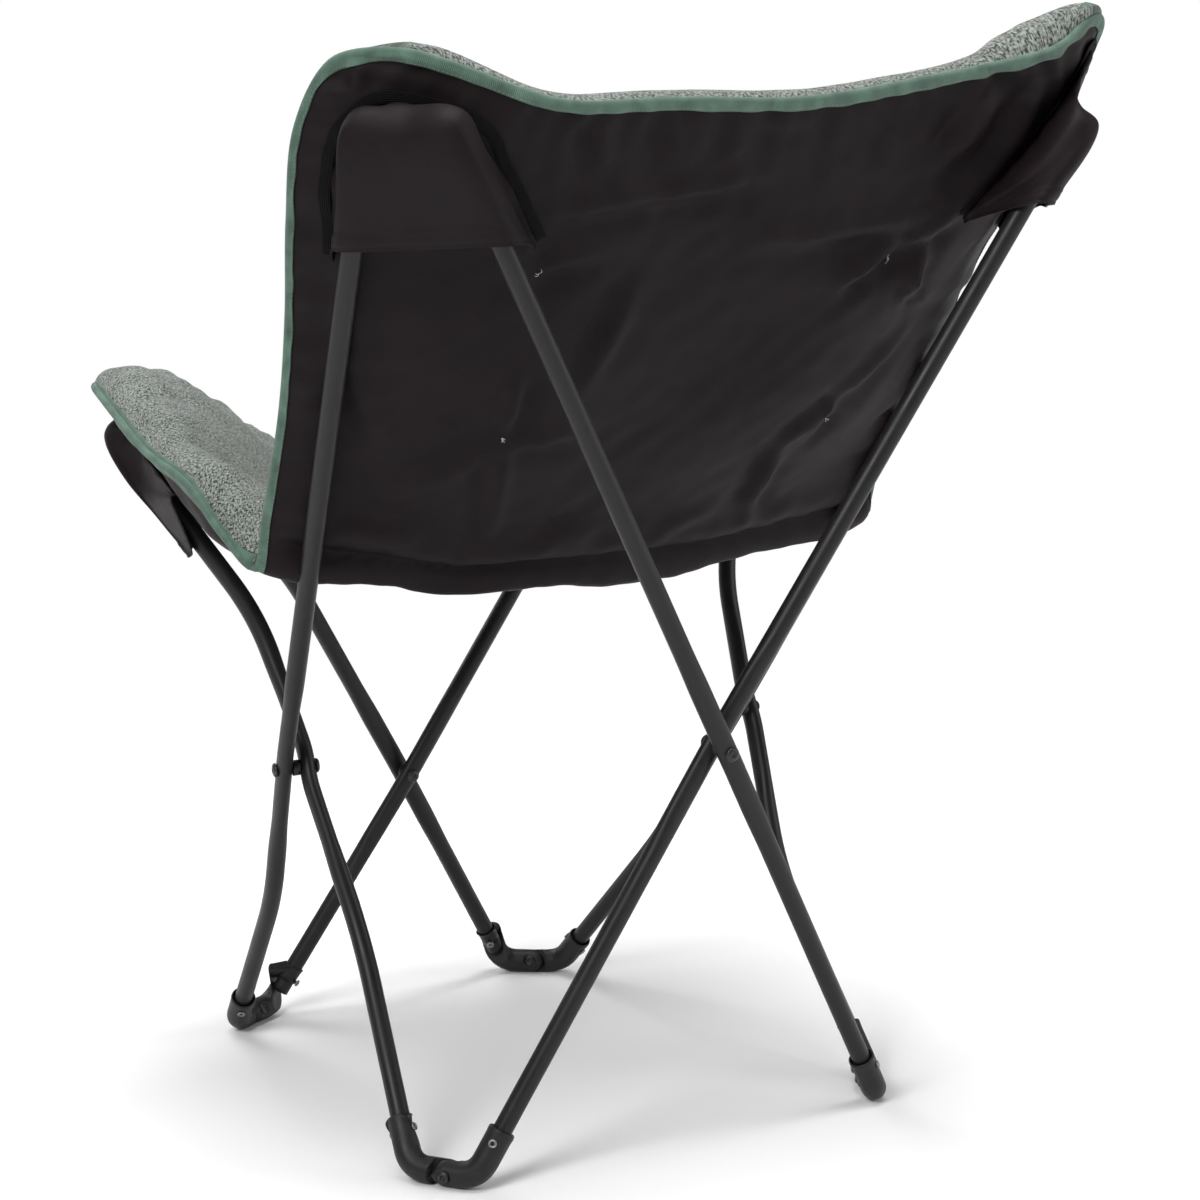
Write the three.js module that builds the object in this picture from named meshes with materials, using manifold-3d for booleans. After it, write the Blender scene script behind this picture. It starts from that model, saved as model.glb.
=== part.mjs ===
// Folding butterfly sling chair: eight crossing tubes on knuckle feet carry a padded sling.
// Units are millimetres, +Z is up, the sitter faces -Y and the sitter's left is +X.
import * as THREE from 'three';
import Module from 'manifold-3d';

const wasm = await Module();
wasm.setup();

// Driving sizes of the frame
const tubeRadius = 8;
const tubeSides = 10;
const ovalThick = 6.8;
const ovalWide = 8.9;
const ovalReach = 58;
const ovalFade = 45;
const pivotGap = 0.2;
const spacerHalf = 3;
const barOffset = ovalThick + spacerHalf + pivotGap;
const fit = 0.3;
const socketWall = 2.1;
const socketLength = 42;
const socketDepth = 29;
const tubeInset = 27;
const around = (radius, sides) => (radius + fit) / Math.cos(Math.PI / sides);
const boreRadius = around(tubeRadius, tubeSides);
const knuckleRadius = boreRadius + socketWall;
const knuckleSides = 10;
const elbowReach = 15;
const lugRadius = knuckleRadius + 0.2;
const lugRoom = 3.8;
const rivetSeat = 1.4;
const footLap = 0.2;
const topLap = 2.6;
const topSlack = 3;
const soleFlat = 0.45;

// Hinge points of the left half of the frame; the right half mirrors them in x
const footZ = knuckleRadius - soleFlat;
const backFoot = new THREE.Vector3(211, 168, footZ);
const frontFoot = new THREE.Vector3(153, -298, footZ);
const backTop = new THREE.Vector3(306, 291, 828);
const armTop = new THREE.Vector3(306, -191, 571);
const backPivot = new THREE.Vector3(0, 239, 343);
const frontPivot = new THREE.Vector3(0, -279, 226);
const sidePivot = new THREE.Vector3(229, -51, 300);

// Hinge axes of the left half, each pointing outwards
const backAxis = new THREE.Vector3(0, 0.9916, -0.1295).normalize();
const frontAxis = new THREE.Vector3(0, 0.9921, -0.1256).normalize();
const sideAxis = new THREE.Vector3(1.771, -0.46, -0.097).normalize();
const backFootAxis = new THREE.Vector3(1.197, 0.908, -0.123).normalize();
const frontFootAxis = new THREE.Vector3(1.281, -1.279, -0.52).normalize();
const backTopAxis = new THREE.Vector3(0.777, 0.63, 0).normalize();
const armTopAxis = new THREE.Vector3(0.75, -0.66, 0).normalize();

// Elbow corners, as steps from each hinge point along its two arms
const backFootArm = new THREE.Vector3(-14, 24.5, 0);
const backFootSideArm = new THREE.Vector3(18.5, -27, 0);
const frontFootArm = new THREE.Vector3(-24.5, -15, 0);
const frontFootSideArm = new THREE.Vector3(24.5, 15, 0);
const backTopArm = new THREE.Vector3(-18.9, 23.3, 2);
const backTopSideArm = new THREE.Vector3(18.9, -23.3, 2);
const armTopArm = new THREE.Vector3(-19.8, -22.5, 0);
const armTopSideArm = new THREE.Vector3(19.8, 22.5, 0);
const cornerOffset = 3;

// Bends of the tubes. A side bar that lies outside its pair bends this much further out.
const highBarBend = new THREE.Vector3(204, -137, 165);
const lowBarBend = new THREE.Vector3(213, 22, 164);
const lowBarTopBend = new THREE.Vector3(241, -107, 421);
const frontTopBend = new THREE.Vector3(123, -257, 426);
const bendLean = 6;
const bendReach = 36;
const lowBendReach = 40;
const bowReach = 10;
const straightHalf = 14;

// Fasteners
const boltRadius = 2.9;
const boltHead = 6.2;
const spacerRadius = 6.6;
const openEnd = 0.6;
const hingeRivet = 2.2;
const hingeRivetHead = 5;
const socketRivet = 1.8;
const socketRivetHead = 3.5;
const socketRivetDrop = 12;

// Driving sizes of the sling. Each row holds the centre line's (y, z), the side edge's (x, y, z)
// and how late along the width the cloth turns in y and in z. Rows run from the top edge of the
// back, down to the fold of the seat and forward to the front edge.
const slingRows = [
  { centre: [303, 845], edge: [322, 266, 886], turnY: 7, turnZ: 2.2 },
  { centre: [299, 833], edge: [340, 232, 869], turnY: 7, turnZ: 2.5 },
  { centre: [291, 817], edge: [350, 207, 829], turnY: 6.6, turnZ: 3 },
  { centre: [259, 753], edge: [340, 173, 762], turnY: 5.4, turnZ: 2.5 },
  { centre: [216, 667], edge: [323, 135, 690], turnY: 4.6, turnZ: 2 },
  { centre: [172, 588], edge: [312, 100, 615], turnY: 4, turnZ: 2 },
  { centre: [114, 517], edge: [303, 52, 531], turnY: 3, turnZ: 2 },
  { centre: [85, 482], edge: [297, 33, 484], turnY: 2, turnZ: 2 },
  { centre: [46, 457], edge: [306, 10, 492], turnY: 2, turnZ: 2.4 },
  { centre: [-22, 439], edge: [312, -26, 525], turnY: 2, turnZ: 2.6 },
  { centre: [-102, 438], edge: [317, -78, 555], turnY: 2, turnZ: 2.4 },
  { centre: [-190, 450], edge: [325, -143, 588], turnY: 2, turnZ: 1.6 },
  { centre: [-279, 473], edge: [330, -217, 617], turnY: 2, turnZ: 1.1 },
];
const coverThick = 1.6;
const padEdge = 5;
const padFull = 30;
const tuftDepth = 15;
const tuftSpread = 34;
const tufts = [[0.42, 3.9], [0.42, 5.7], [0.4, 9], [0.4, 10.7]];
const tapeThick = 1.3;
const tapeGap = 1.7;
const tapeWidth = 11;
const pocketThick = 1.8;
const pocketGap = 2.4;
const pocketRoom = 4.5;
const pocketDrop = 76;
const armPocketDrop = 112;
const borderThick = 1.6;
const borderWidth = 9;
const borderGap = 4;
// Where the pockets are sewn on, as width and row
const backBorder = [[0.93, 3], [0.94, 2.2], [0.925, 1.5], [0.86, 1.05], [0.72, 1.25], [0.6, 2.1], [0.51, 3]];
const armBorder = [[0.93, 9.7], [0.94, 10.5], [0.935, 11.2], [0.91, 11.72], [0.82, 11.8], [0.72, 11.8],
  [0.62, 11.72]];

// Finishes
const finish = (color, roughness, metalness) =>
  new THREE.MeshStandardMaterial({ color, roughness, metalness });
const steel = () => finish(0x2f2d2e, 0.42, 0.35);
const plastic = () => finish(0x232122, 0.5, 0);
const rivetMetal = () => finish(0x4a4849, 0.35, 0.8);
const melange = () => finish(0x87968c, 0.95, 0);
const blackCloth = () => finish(0x262324, 0.8, 0);
const greenTape = () => finish(0x4f7566, 0.85, 0);
const webbing = () => finish(0x1a1819, 0.85, 0);

const chair = new THREE.Group();
chair.name = 'butterfly_sling_chair';

function mirrored(v) {
  return new THREE.Vector3(-v.x, v.y, v.z);
}

function addMesh(name, geometry, material) {
  geometry.computeVertexNormals();
  const mesh = new THREE.Mesh(geometry, material);
  mesh.name = name;
  chair.add(mesh);
}

// Solids from rings of points and from booleans

function geometryFrom(points, faces) {
  const geometry = new THREE.BufferGeometry();
  const places = points.flatMap((p) => [p.x, p.y, p.z]);
  geometry.setAttribute('position', new THREE.Float32BufferAttribute(places, 3));
  geometry.setIndex(faces);
  return geometry;
}

function loft(rings) {
  const n = rings[0].length;
  const faces = [];
  for (let r = 0; r + 1 < rings.length; r++) {
    for (let k = 0; k < n; k++) {
      const a = r * n + k;
      const b = r * n + ((k + 1) % n);
      faces.push(a, b, b + n, a, b + n, a + n);
    }
  }
  const last = (rings.length - 1) * n;
  for (let k = 1; k + 1 < n; k++) {
    faces.push(0, k + 1, k);
    faces.push(last, last + k, last + k + 1);
  }
  return geometryFrom(rings.flat(), faces);
}

function ringLoop(rings) {
  const n = rings[0].length;
  const m = rings.length;
  const faces = [];
  for (let r = 0; r < m; r++) {
    for (let k = 0; k < n; k++) {
      const a = r * n + k;
      const b = r * n + ((k + 1) % n);
      const c = ((r + 1) % m) * n + ((k + 1) % n);
      const d = ((r + 1) % m) * n + k;
      faces.push(a, c, b, a, d, c);
    }
  }
  return geometryFrom(rings.flat(), faces);
}

function solid(geometry) {
  const made = new wasm.Manifold(new wasm.Mesh({
    numProp: 3,
    vertProperties: new Float32Array(geometry.attributes.position.array),
    triVerts: new Uint32Array(geometry.index.array),
  }));
  return made;
}

function fromSolid(made) {
  const mesh = made.getMesh();
  const points = [];
  for (let i = 0; i < mesh.numVert; i++) {
    const at = i * mesh.numProp;
    points.push(new THREE.Vector3(...mesh.vertProperties.slice(at, at + 3)));
  }
  return geometryFrom(points, Array.from(mesh.triVerts));
}

function frameAt(tangent, axis) {
  const across = axis.clone().addScaledVector(tangent, -axis.dot(tangent)).normalize();
  return { across, along: tangent.clone().cross(across).normalize() };
}

function oval(centre, frame, radiusAcross, radiusAlong, sides) {
  const ring = [];
  for (let k = 0; k < sides; k++) {
    const angle = (2 * Math.PI * k) / sides;
    ring.push(centre.clone()
      .addScaledVector(frame.across, radiusAcross * Math.cos(angle))
      .addScaledVector(frame.along, radiusAlong * Math.sin(angle)));
  }
  return ring;
}

function anyNormal(axis) {
  const helper = Math.abs(axis.z) < 0.9 ? new THREE.Vector3(0, 0, 1) : new THREE.Vector3(1, 0, 0);
  return helper.cross(axis).normalize();
}

const outFrom = (point, axis, distance) => point.clone().addScaledVector(axis, distance);

function rod(from, to, radius, sides) {
  const axis = to.clone().sub(from).normalize();
  const frame = frameAt(axis, anyNormal(axis));
  return solid(loft([oval(from, frame, radius, radius, sides), oval(to, frame, radius, radius, sides)]));
}

// A turned piece: pairs of radius and height along an axis, from its low end to its high end
function turned(origin, axis, profile, sides) {
  const frame = frameAt(axis, anyNormal(axis));
  const rings = profile.map(([radius, height]) =>
    oval(origin.clone().addScaledVector(axis, height), frame, radius, radius, sides));
  return loft(rings);
}

// Straight legs joined by rounded bends; each bend reaches back along its two legs
function bentPath(points, reaches) {
  const path = new THREE.CurvePath();
  let start = points[0];
  for (let i = 1; i + 1 < points.length; i++) {
    const before = points[i - 1].clone().sub(points[i]).normalize();
    const after = points[i + 1].clone().sub(points[i]).normalize();
    const enter = points[i].clone().addScaledVector(before, reaches[i - 1]);
    const leave = points[i].clone().addScaledVector(after, reaches[i - 1]);
    path.add(new THREE.LineCurve3(start, enter));
    path.add(new THREE.QuadraticBezierCurve3(enter, points[i], leave));
    start = leave;
  }
  path.add(new THREE.LineCurve3(start, points[points.length - 1]));
  return path;
}

function smooth(x) {
  const t = Math.min(1, Math.max(0, x));
  return t * t * (3 - 2 * t);
}

// Tubes: round, squeezed to an oval about the scissor pivot

function nearestTo(path, point) {
  let best = 0;
  let least = Infinity;
  const steps = 400;
  for (let i = 0; i <= steps; i++) {
    const d = path.getPoint(i / steps).distanceTo(point);
    if (d < least) {
      least = d;
      best = i / steps;
    }
  }
  return best;
}

function tubeSolid(corners, reaches, pivot, axis) {
  const path = bentPath(corners, reaches);
  const length = path.getLength();
  const start = (socketLength - tubeInset) / length;
  const pivotAt = nearestTo(path, pivot);
  const stations = new Set([start, 1 - start]);
  let run = 0;
  for (const curve of path.curves) {
    const span = curve.getLength();
    if (curve.isQuadraticBezierCurve3) {
      const turn = curve.v1.clone().sub(curve.v0).angleTo(curve.v2.clone().sub(curve.v1));
      const steps = turn > 0.1 ? 4 : 1;
      for (let i = 0; i <= steps; i++) stations.add((run + (span * i) / steps) / length);
    }
    run += span;
  }
  for (const side of [-1, 1]) {
    for (const step of [0, ovalReach, ovalReach + ovalFade / 2, ovalReach + ovalFade]) {
      stations.add(pivotAt + (side * step) / length);
    }
  }
  const sorted = [...stations].filter((t) => t >= start && t <= 1 - start).sort((a, b) => a - b);
  const spaced = sorted.filter((t, i) => i === 0 || (t - sorted[i - 1]) * length > 4);
  const rings = spaced.map((t) => {
    const squeeze = 1 - smooth((Math.abs(t - pivotAt) * length - ovalReach) / ovalFade);
    const frame = frameAt(path.getTangent(t), axis);
    const thick = THREE.MathUtils.lerp(tubeRadius, ovalThick, squeeze);
    const wide = THREE.MathUtils.lerp(tubeRadius, ovalWide, squeeze);
    return oval(path.getPoint(t), frame, thick, wide, tubeSides);
  });
  return { path, body: solid(loft(rings)) };
}

// Knuckles: a socket on the tube, a bend and a half-lapped lug on the hinge rivet

function knuckleSolid(corner, intoCorner, hinge, axis, side, lap, slack) {
  const rim = corner.clone().addScaledVector(intoCorner, -socketLength);
  const arm = hinge.clone().sub(corner).normalize();
  const end = hinge.clone().addScaledVector(arm, lugRadius);
  const path = bentPath([rim, corner, end], [elbowReach]);
  const length = path.getLength();
  const bendFrom = path.curves[0].getLength();
  const bendTo = bendFrom + path.curves[1].getLength();
  const distances = [0, 2, bendFrom];
  for (let i = 1; i < 3; i++) distances.push(bendFrom + ((bendTo - bendFrom) * i) / 3);
  distances.push(bendTo, length - lugRadius, length - lugRadius * 0.4, length - lugRadius * 0.08);
  const rings = distances.map((d) => {
    const t = d / length;
    const frame = frameAt(path.getTangent(Math.min(t, 0.9999)), axis);
    const past = Math.max(0, d - (length - lugRadius));
    const high = Math.sqrt(lugRadius * lugRadius - past * past);
    const radius = d === 0 ? knuckleRadius - socketWall * 0.4 : knuckleRadius;
    return oval(path.getPoint(t), frame, radius, Math.min(radius, high), knuckleSides);
  });
  const bore = rod(rim.clone().addScaledVector(intoCorner, -2),
    rim.clone().addScaledVector(intoCorner, socketDepth), boreRadius, tubeSides);
  const along = (d) => hinge.clone().addScaledVector(axis, side * d);
  const reach = 2 * knuckleRadius;
  const room = rod(along(lap), along(-reach), lugRadius + lugRoom + slack, 12);
  const pin = rod(along(-reach), along(reach), around(hingeRivet, 6), 6);
  const seat = rod(along(knuckleRadius - rivetSeat), along(reach), hingeRivetHead + 1, 8);
  return solid(loft(rings)).subtract(bore).subtract(room).subtract(pin).subtract(seat);
}

function hingeRivetProfile(low, high) {
  const head = hingeRivetHead;
  return [[head * 0.5, low - 2.4], [head * 0.95, low - 1.2], [head, low], [hingeRivet, low],
    [hingeRivet, high], [head, high], [head * 0.95, high + 1.2], [head * 0.5, high + 2.4]];
}

function socketRivetProfile(reach) {
  const head = socketRivetHead;
  return [[head * 0.55, -reach - 1.5], [head, -reach - 0.6], [head, -reach], [socketRivet, -reach],
    [socketRivet, reach], [head, reach], [head, reach + 0.6], [head * 0.55, reach + 1.5]];
}

// One bar: its tube, a foot knuckle, a top knuckle and the rivet of its foot socket
function addBar(bar) {
  const { path, body } = tubeSolid(bar.corners, bar.reaches, bar.pivot, bar.axis);
  const hole = rod(outFrom(bar.pivot, bar.axis, -20), outFrom(bar.pivot, bar.axis, 20),
    around(boltRadius, 8), 8);
  const footCorner = bar.corners[0];
  const topCorner = bar.corners[bar.corners.length - 1];
  const footInto = path.getTangent(0).negate();
  const topInto = path.getTangent(1);

  const rivetAt = footCorner.clone().addScaledVector(footInto, -socketLength + socketRivetDrop);
  const frame = frameAt(footInto, bar.foot.axis);
  const rivetAxis = bar.rivetAlong ? frame.along : frame.across;
  const rivetHole = rod(outFrom(rivetAt, rivetAxis, -20), outFrom(rivetAt, rivetAxis, 20),
    around(socketRivet, 6), 6);

  const foot = knuckleSolid(footCorner, footInto, bar.foot.hinge, bar.foot.axis, bar.foot.side, footLap, 0)
    .subtract(rivetHole).trimByPlane([0, 0, 1], 0);
  const top = knuckleSolid(topCorner, topInto, bar.top.hinge, bar.top.axis, bar.top.side, topLap, topSlack);
  addMesh(`${bar.name}_tube`, fromSolid(body.subtract(hole).subtract(rivetHole)), steel());
  addMesh(`${bar.name}_foot_knuckle`, fromSolid(foot), plastic());
  addMesh(`${bar.name}_top_knuckle`, fromSolid(top), plastic());
  const rivetShape = turned(rivetAt, rivetAxis, socketRivetProfile(knuckleRadius + pivotGap), 6);
  addMesh(`${bar.name}_socket_rivet`, rivetShape, rivetMetal());
}

// Two corners either side of a pivot, so that the bar runs straight and square to the axis there
function straddle(pivot, axis, from, to) {
  const run = to.clone().sub(from);
  run.addScaledVector(axis, -run.dot(axis)).normalize();
  return [-straightHalf, straightHalf].map((d) => pivot.clone().addScaledVector(run, d));
}

function stepped(hinge, arm, offset) {
  return hinge.clone().add(arm).add(offset);
}

const outward = (axis, side) => axis.clone().multiplyScalar(side);
const none = new THREE.Vector3();

// The four scissor pairs. Every bar is named by the frame side and by its place in the pair.
function addBackBars() {
  for (const [name, side, left] of [['back_outer', 1, 1], ['back_inner', -1, -1]]) {
    const shift = outward(backAxis, side * cornerOffset);
    const topLeft = stepped(backTop, backTopArm, shift);
    const footRight = stepped(mirrored(backFoot), mirrored(backFootArm), shift);
    const topRight = stepped(mirrored(backTop), mirrored(backTopArm), shift);
    const footLeft = stepped(backFoot, backFootArm, shift);
    const pivot = backPivot.clone().addScaledVector(backAxis, side * barOffset);
    addBar({
      name,
      corners: left > 0
        ? [footRight, ...straddle(pivot, backAxis, footRight, topLeft), topLeft]
        : [footLeft, ...straddle(pivot, backAxis, footLeft, topRight), topRight],
      reaches: [bowReach, bowReach],
      pivot,
      axis: backAxis,
      foot: left > 0
        ? { hinge: mirrored(backFoot), axis: mirrored(backFootAxis), side: 1 }
        : { hinge: backFoot, axis: backFootAxis, side: 1 },
      top: left > 0
        ? { hinge: backTop, axis: backTopAxis, side: 1 }
        : { hinge: mirrored(backTop), axis: mirrored(backTopAxis), side: 1 },
      rivetAlong: false,
    });
  }
}

function addFrontBars() {
  for (const [name, side, left] of [['front_outer', -1, 1], ['front_inner', 1, -1]]) {
    const shift = outward(frontAxis, side * cornerOffset);
    const flip = left > 0 ? (v) => v.clone() : mirrored;
    const flop = left > 0 ? mirrored : (v) => v.clone();
    const pivot = frontPivot.clone().addScaledVector(frontAxis, side * barOffset);
    const foot = stepped(flop(frontFoot), flop(frontFootArm), shift);
    const bend = flip(frontTopBend).addScaledVector(frontAxis, side * barOffset);
    addBar({
      name,
      corners: [foot, ...straddle(pivot, frontAxis, foot, bend), bend,
        stepped(flip(armTop), flip(armTopArm), none)],
      reaches: [bowReach, bowReach, bendReach],
      pivot,
      axis: frontAxis,
      foot: { hinge: flop(frontFoot), axis: flop(frontFootAxis), side: -1 },
      top: { hinge: flip(armTop), axis: flip(armTopAxis), side: 1 },
      rivetAlong: false,
    });
  }
}

// On the left the bar from the high corner lies outside the bar from the arm, on the right inside it
function addSideBars() {
  for (const [word, flip, order] of [['left', (v) => v.clone(), 1], ['right', mirrored, -1]]) {
    const axis = flip(sideAxis);
    const lean = flip(new THREE.Vector3(order * bendLean, 0, 0));
    const highPivot = flip(sidePivot).addScaledVector(axis, order * barOffset);
    const lowPivot = flip(sidePivot).addScaledVector(axis, -order * barOffset);
    const highFoot = stepped(flip(frontFoot), flip(frontFootSideArm), none);
    const highTop = stepped(flip(backTop), flip(backTopSideArm), none);
    const highBend = flip(highBarBend).add(lean);
    addBar({
      name: `${word}_high`,
      corners: [highFoot, highBend, ...straddle(highPivot, axis, highBend, highTop), highTop],
      reaches: [bendReach, bowReach, bowReach],
      pivot: highPivot,
      axis,
      foot: { hinge: flip(frontFoot), axis: flip(frontFootAxis), side: 1 },
      top: { hinge: flip(backTop), axis: flip(backTopAxis), side: -1 },
      rivetAlong: true,
    });
    const lowFoot = stepped(flip(backFoot), flip(backFootSideArm), none);
    const lowTop = stepped(flip(armTop), flip(armTopSideArm), none);
    const lowBend = flip(lowBarBend).sub(lean);
    const topBend = flip(lowBarTopBend).sub(lean);
    addBar({
      name: `${word}_low`,
      corners: [lowFoot, lowBend, ...straddle(lowPivot, axis, lowBend, topBend), topBend, lowTop],
      reaches: [lowBendReach, bowReach, bowReach, bendReach],
      pivot: lowPivot,
      axis,
      foot: { hinge: flip(backFoot), axis: flip(backFootAxis), side: -1 },
      top: { hinge: flip(armTop), axis: flip(armTopAxis), side: -1 },
      rivetAlong: true,
    });
  }
}

// Rivets of the foot and top hinges
function addHingeRivets() {
  const half = knuckleRadius - rivetSeat + pivotGap;
  const through = hingeRivetProfile(-half, half);
  const short = hingeRivetProfile(topLap, half).slice(3);
  for (const [word, flip] of [['left', (v) => v.clone()], ['right', mirrored]]) {
    addMesh(`back_${word}_foot_rivet`, turned(flip(backFoot), flip(backFootAxis), through, 8), rivetMetal());
    addMesh(`front_${word}_foot_rivet`, turned(flip(frontFoot), flip(frontFootAxis), through, 8),
      rivetMetal());
    addMesh(`back_${word}_top_rivet`, turned(flip(backTop), flip(backTopAxis), short, 8), rivetMetal());
    addMesh(`arm_${word}_top_rivet`, turned(flip(armTop), flip(armTopAxis), short, 8), rivetMetal());
  }
}

// Bolts and spacers of the scissor pivots
function boltProfile(low, high) {
  const head = boltHead;
  return [[head * 0.45, low - 3], [head * 0.9, low - 1.7], [head, low], [boltRadius, low],
    [boltRadius, high], [head, high], [head * 0.9, high + 1.7], [head * 0.45, high + 3]];
}

function spacer(centre, axis, low, high) {
  const outer = solid(turned(centre, axis, [[spacerRadius, low], [spacerRadius, high]], 10));
  const inner = rod(outFrom(centre, axis, low - 1), outFrom(centre, axis, high + 1),
    around(boltRadius, 8), 8);
  return fromSolid(outer.subtract(inner));
}

function addPivots() {
  const seat = barOffset + ovalThick + pivotGap;
  const all = boltProfile(-seat, seat);
  addMesh('back_pivot_bolt', turned(backPivot, backAxis, all, 8), rivetMetal());
  addMesh('back_pivot_spacer', spacer(backPivot, backAxis, -spacerHalf, spacerHalf), plastic());
  for (const [word, flip] of [['left', (v) => v.clone()], ['right', mirrored]]) {
    addMesh(`${word}_pivot_bolt`, turned(flip(sidePivot), flip(sideAxis), all, 8), rivetMetal());
    addMesh(`${word}_pivot_spacer`, spacer(flip(sidePivot), flip(sideAxis), -spacerHalf, spacerHalf),
      plastic());
  }
  // The front pair's bolt ends inside its spacer, and the outer bar has its own short rivet
  addMesh('front_pivot_bolt', turned(frontPivot, frontAxis, boltProfile(openEnd, seat).slice(3), 8),
    rivetMetal());
  addMesh('front_pivot_spacer', spacer(frontPivot, frontAxis, openEnd, spacerHalf), plastic());
  addMesh('front_pivot_rivet',
    turned(frontPivot, frontAxis, boltProfile(-seat, -spacerHalf - pivotGap).slice(0, 5), 8), rivetMetal());
}

// The sling's outer face as a function of width u in -1..1 and row v in 0..last row

const lastRow = slingRows.length - 1;
const centreLine = new THREE.CatmullRomCurve3(slingRows.map((r) => new THREE.Vector3(0, ...r.centre)));
const edgeLine = new THREE.CatmullRomCurve3(slingRows.map((r) => new THREE.Vector3(...r.edge)));

function rowValue(key, v) {
  const i = Math.min(lastRow - 1, Math.floor(v));
  return THREE.MathUtils.lerp(slingRows[i][key], slingRows[i + 1][key], v - i);
}

function slingFace(u, v) {
  const c = centreLine.getPoint(v / lastRow);
  const e = edgeLine.getPoint(v / lastRow);
  const w = Math.abs(u);
  return new THREE.Vector3(e.x * u, c.y + (e.y - c.y) * w ** rowValue('turnY', v),
    c.z + (e.z - c.z) * w ** rowValue('turnZ', v));
}

// Unit normal on the sitter's side
function slingNormal(u, v) {
  const step = 0.02;
  const u0 = Math.max(-1, u - step);
  const u1 = Math.min(1, u + step);
  const v0 = Math.max(0, v - step * 5);
  const v1 = Math.min(lastRow, v + step * 5);
  const across = slingFace(u1, v).sub(slingFace(u0, v));
  const down = slingFace(u, v1).sub(slingFace(u, v0));
  return down.cross(across).normalize();
}

// The share of the width, and of a row, that the binding tape covers
function tapeU(v) {
  return (0.02 * tapeWidth) / slingFace(1, v).distanceTo(slingFace(0.98, v));
}

function tapeRows(u, v) {
  const back = v < lastRow / 2 ? 0.2 : -0.2;
  return (0.2 * tapeWidth) / slingFace(u, v).distanceTo(slingFace(u, v + back));
}

function padThickness(u, v) {
  const edgeU = Math.min(1, Math.abs(u) / (1 - tapeU(v)));
  const top = tapeRows(u, 0);
  const front = tapeRows(u, lastRow);
  const q = THREE.MathUtils.clamp((v - top) / (lastRow - top - front), 0, 1);
  const crown = Math.max(0, (1 - edgeU ** 5) * (1 - Math.abs(2 * q - 1) ** 9));
  let dent = 0;
  const here = slingFace(u, v);
  for (const [tu, tv] of tufts) {
    for (const side of [-1, 1]) {
      const d = here.distanceTo(slingFace(side * tu, tv));
      dent += tuftDepth * Math.exp(-((d / tuftSpread) ** 2));
    }
  }
  return padEdge + Math.max(0, (padFull - padEdge) * crown ** 0.7 - dent * crown);
}

function slingAt(u, v, lift) {
  return slingFace(u, v).addScaledVector(slingNormal(u, v), lift);
}

const widths = [-1, -0.99, -0.9, -0.78, -0.63, -0.47, -0.31, -0.15];
widths.push(0, ...widths.map((u) => -u).reverse());
const levels = [0, 0.5];
for (let v = 1.4; v < lastRow - 0.4; v += 0.65) levels.push(v);
levels.push(lastRow - 0.2, lastRow);

// Width and row of a grid point; the second line from each edge lies where the tape ends
function gridAt(c, r) {
  let u = widths[c];
  let v = levels[r];
  if (r === 1) v = tapeRows(u, 0);
  if (r === levels.length - 2) v = lastRow - tapeRows(u, lastRow);
  if (c === 1) u = -1 + tapeU(v);
  if (c === widths.length - 2) u = 1 - tapeU(v);
  return [u, v];
}

// A closed sheet between two lifts over the sling's face
function sheetSolid(low, high) {
  const rows = levels.length;
  const cols = widths.length;
  const points = [];
  for (const lift of [low, high]) {
    for (let r = 0; r < rows; r++) {
      for (let c = 0; c < cols; c++) {
        const [u, v] = gridAt(c, r);
        points.push(slingAt(u, v, lift(u, v)));
      }
    }
  }
  const faces = [];
  const half = rows * cols;
  for (let r = 0; r + 1 < rows; r++) {
    for (let c = 0; c + 1 < cols; c++) {
      const a = r * cols + c;
      const b = a + 1;
      const d = a + cols;
      const e = d + 1;
      const split = c < (cols - 1) / 2 ? [a, b, e, a, e, d] : [a, b, d, b, e, d];
      for (let i = 0; i < 6; i += 3) {
        faces.push(split[i], split[i + 1], split[i + 2]);
        faces.push(half + split[i], half + split[i + 2], half + split[i + 1]);
      }
    }
  }
  const rim = rimOrder();
  for (let i = 0; i < rim.length; i++) {
    const a = rim[i];
    const b = rim[(i + 1) % rim.length];
    faces.push(a, a + half, b + half, a, b + half, b);
  }
  return geometryFrom(points, faces);
}

// Grid points along the sling's edge, once round
function rimOrder() {
  const rows = levels.length;
  const cols = widths.length;
  const rim = [];
  for (let c = 0; c < cols - 1; c++) rim.push(c);
  for (let r = 0; r < rows - 1; r++) rim.push(r * cols + cols - 1);
  for (let c = cols - 1; c > 0; c--) rim.push((rows - 1) * cols + c);
  for (let r = rows - 1; r > 0; r--) rim.push(r * cols);
  return rim;
}

function addSling() {
  const base = coverThick + fit;
  addMesh('sling_pad', sheetSolid(() => base, (u, v) => base + padThickness(u, v)), melange());
  addMesh('sling_back_cover', sheetSolid(() => 0, () => coverThick), blackCloth());
}

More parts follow.
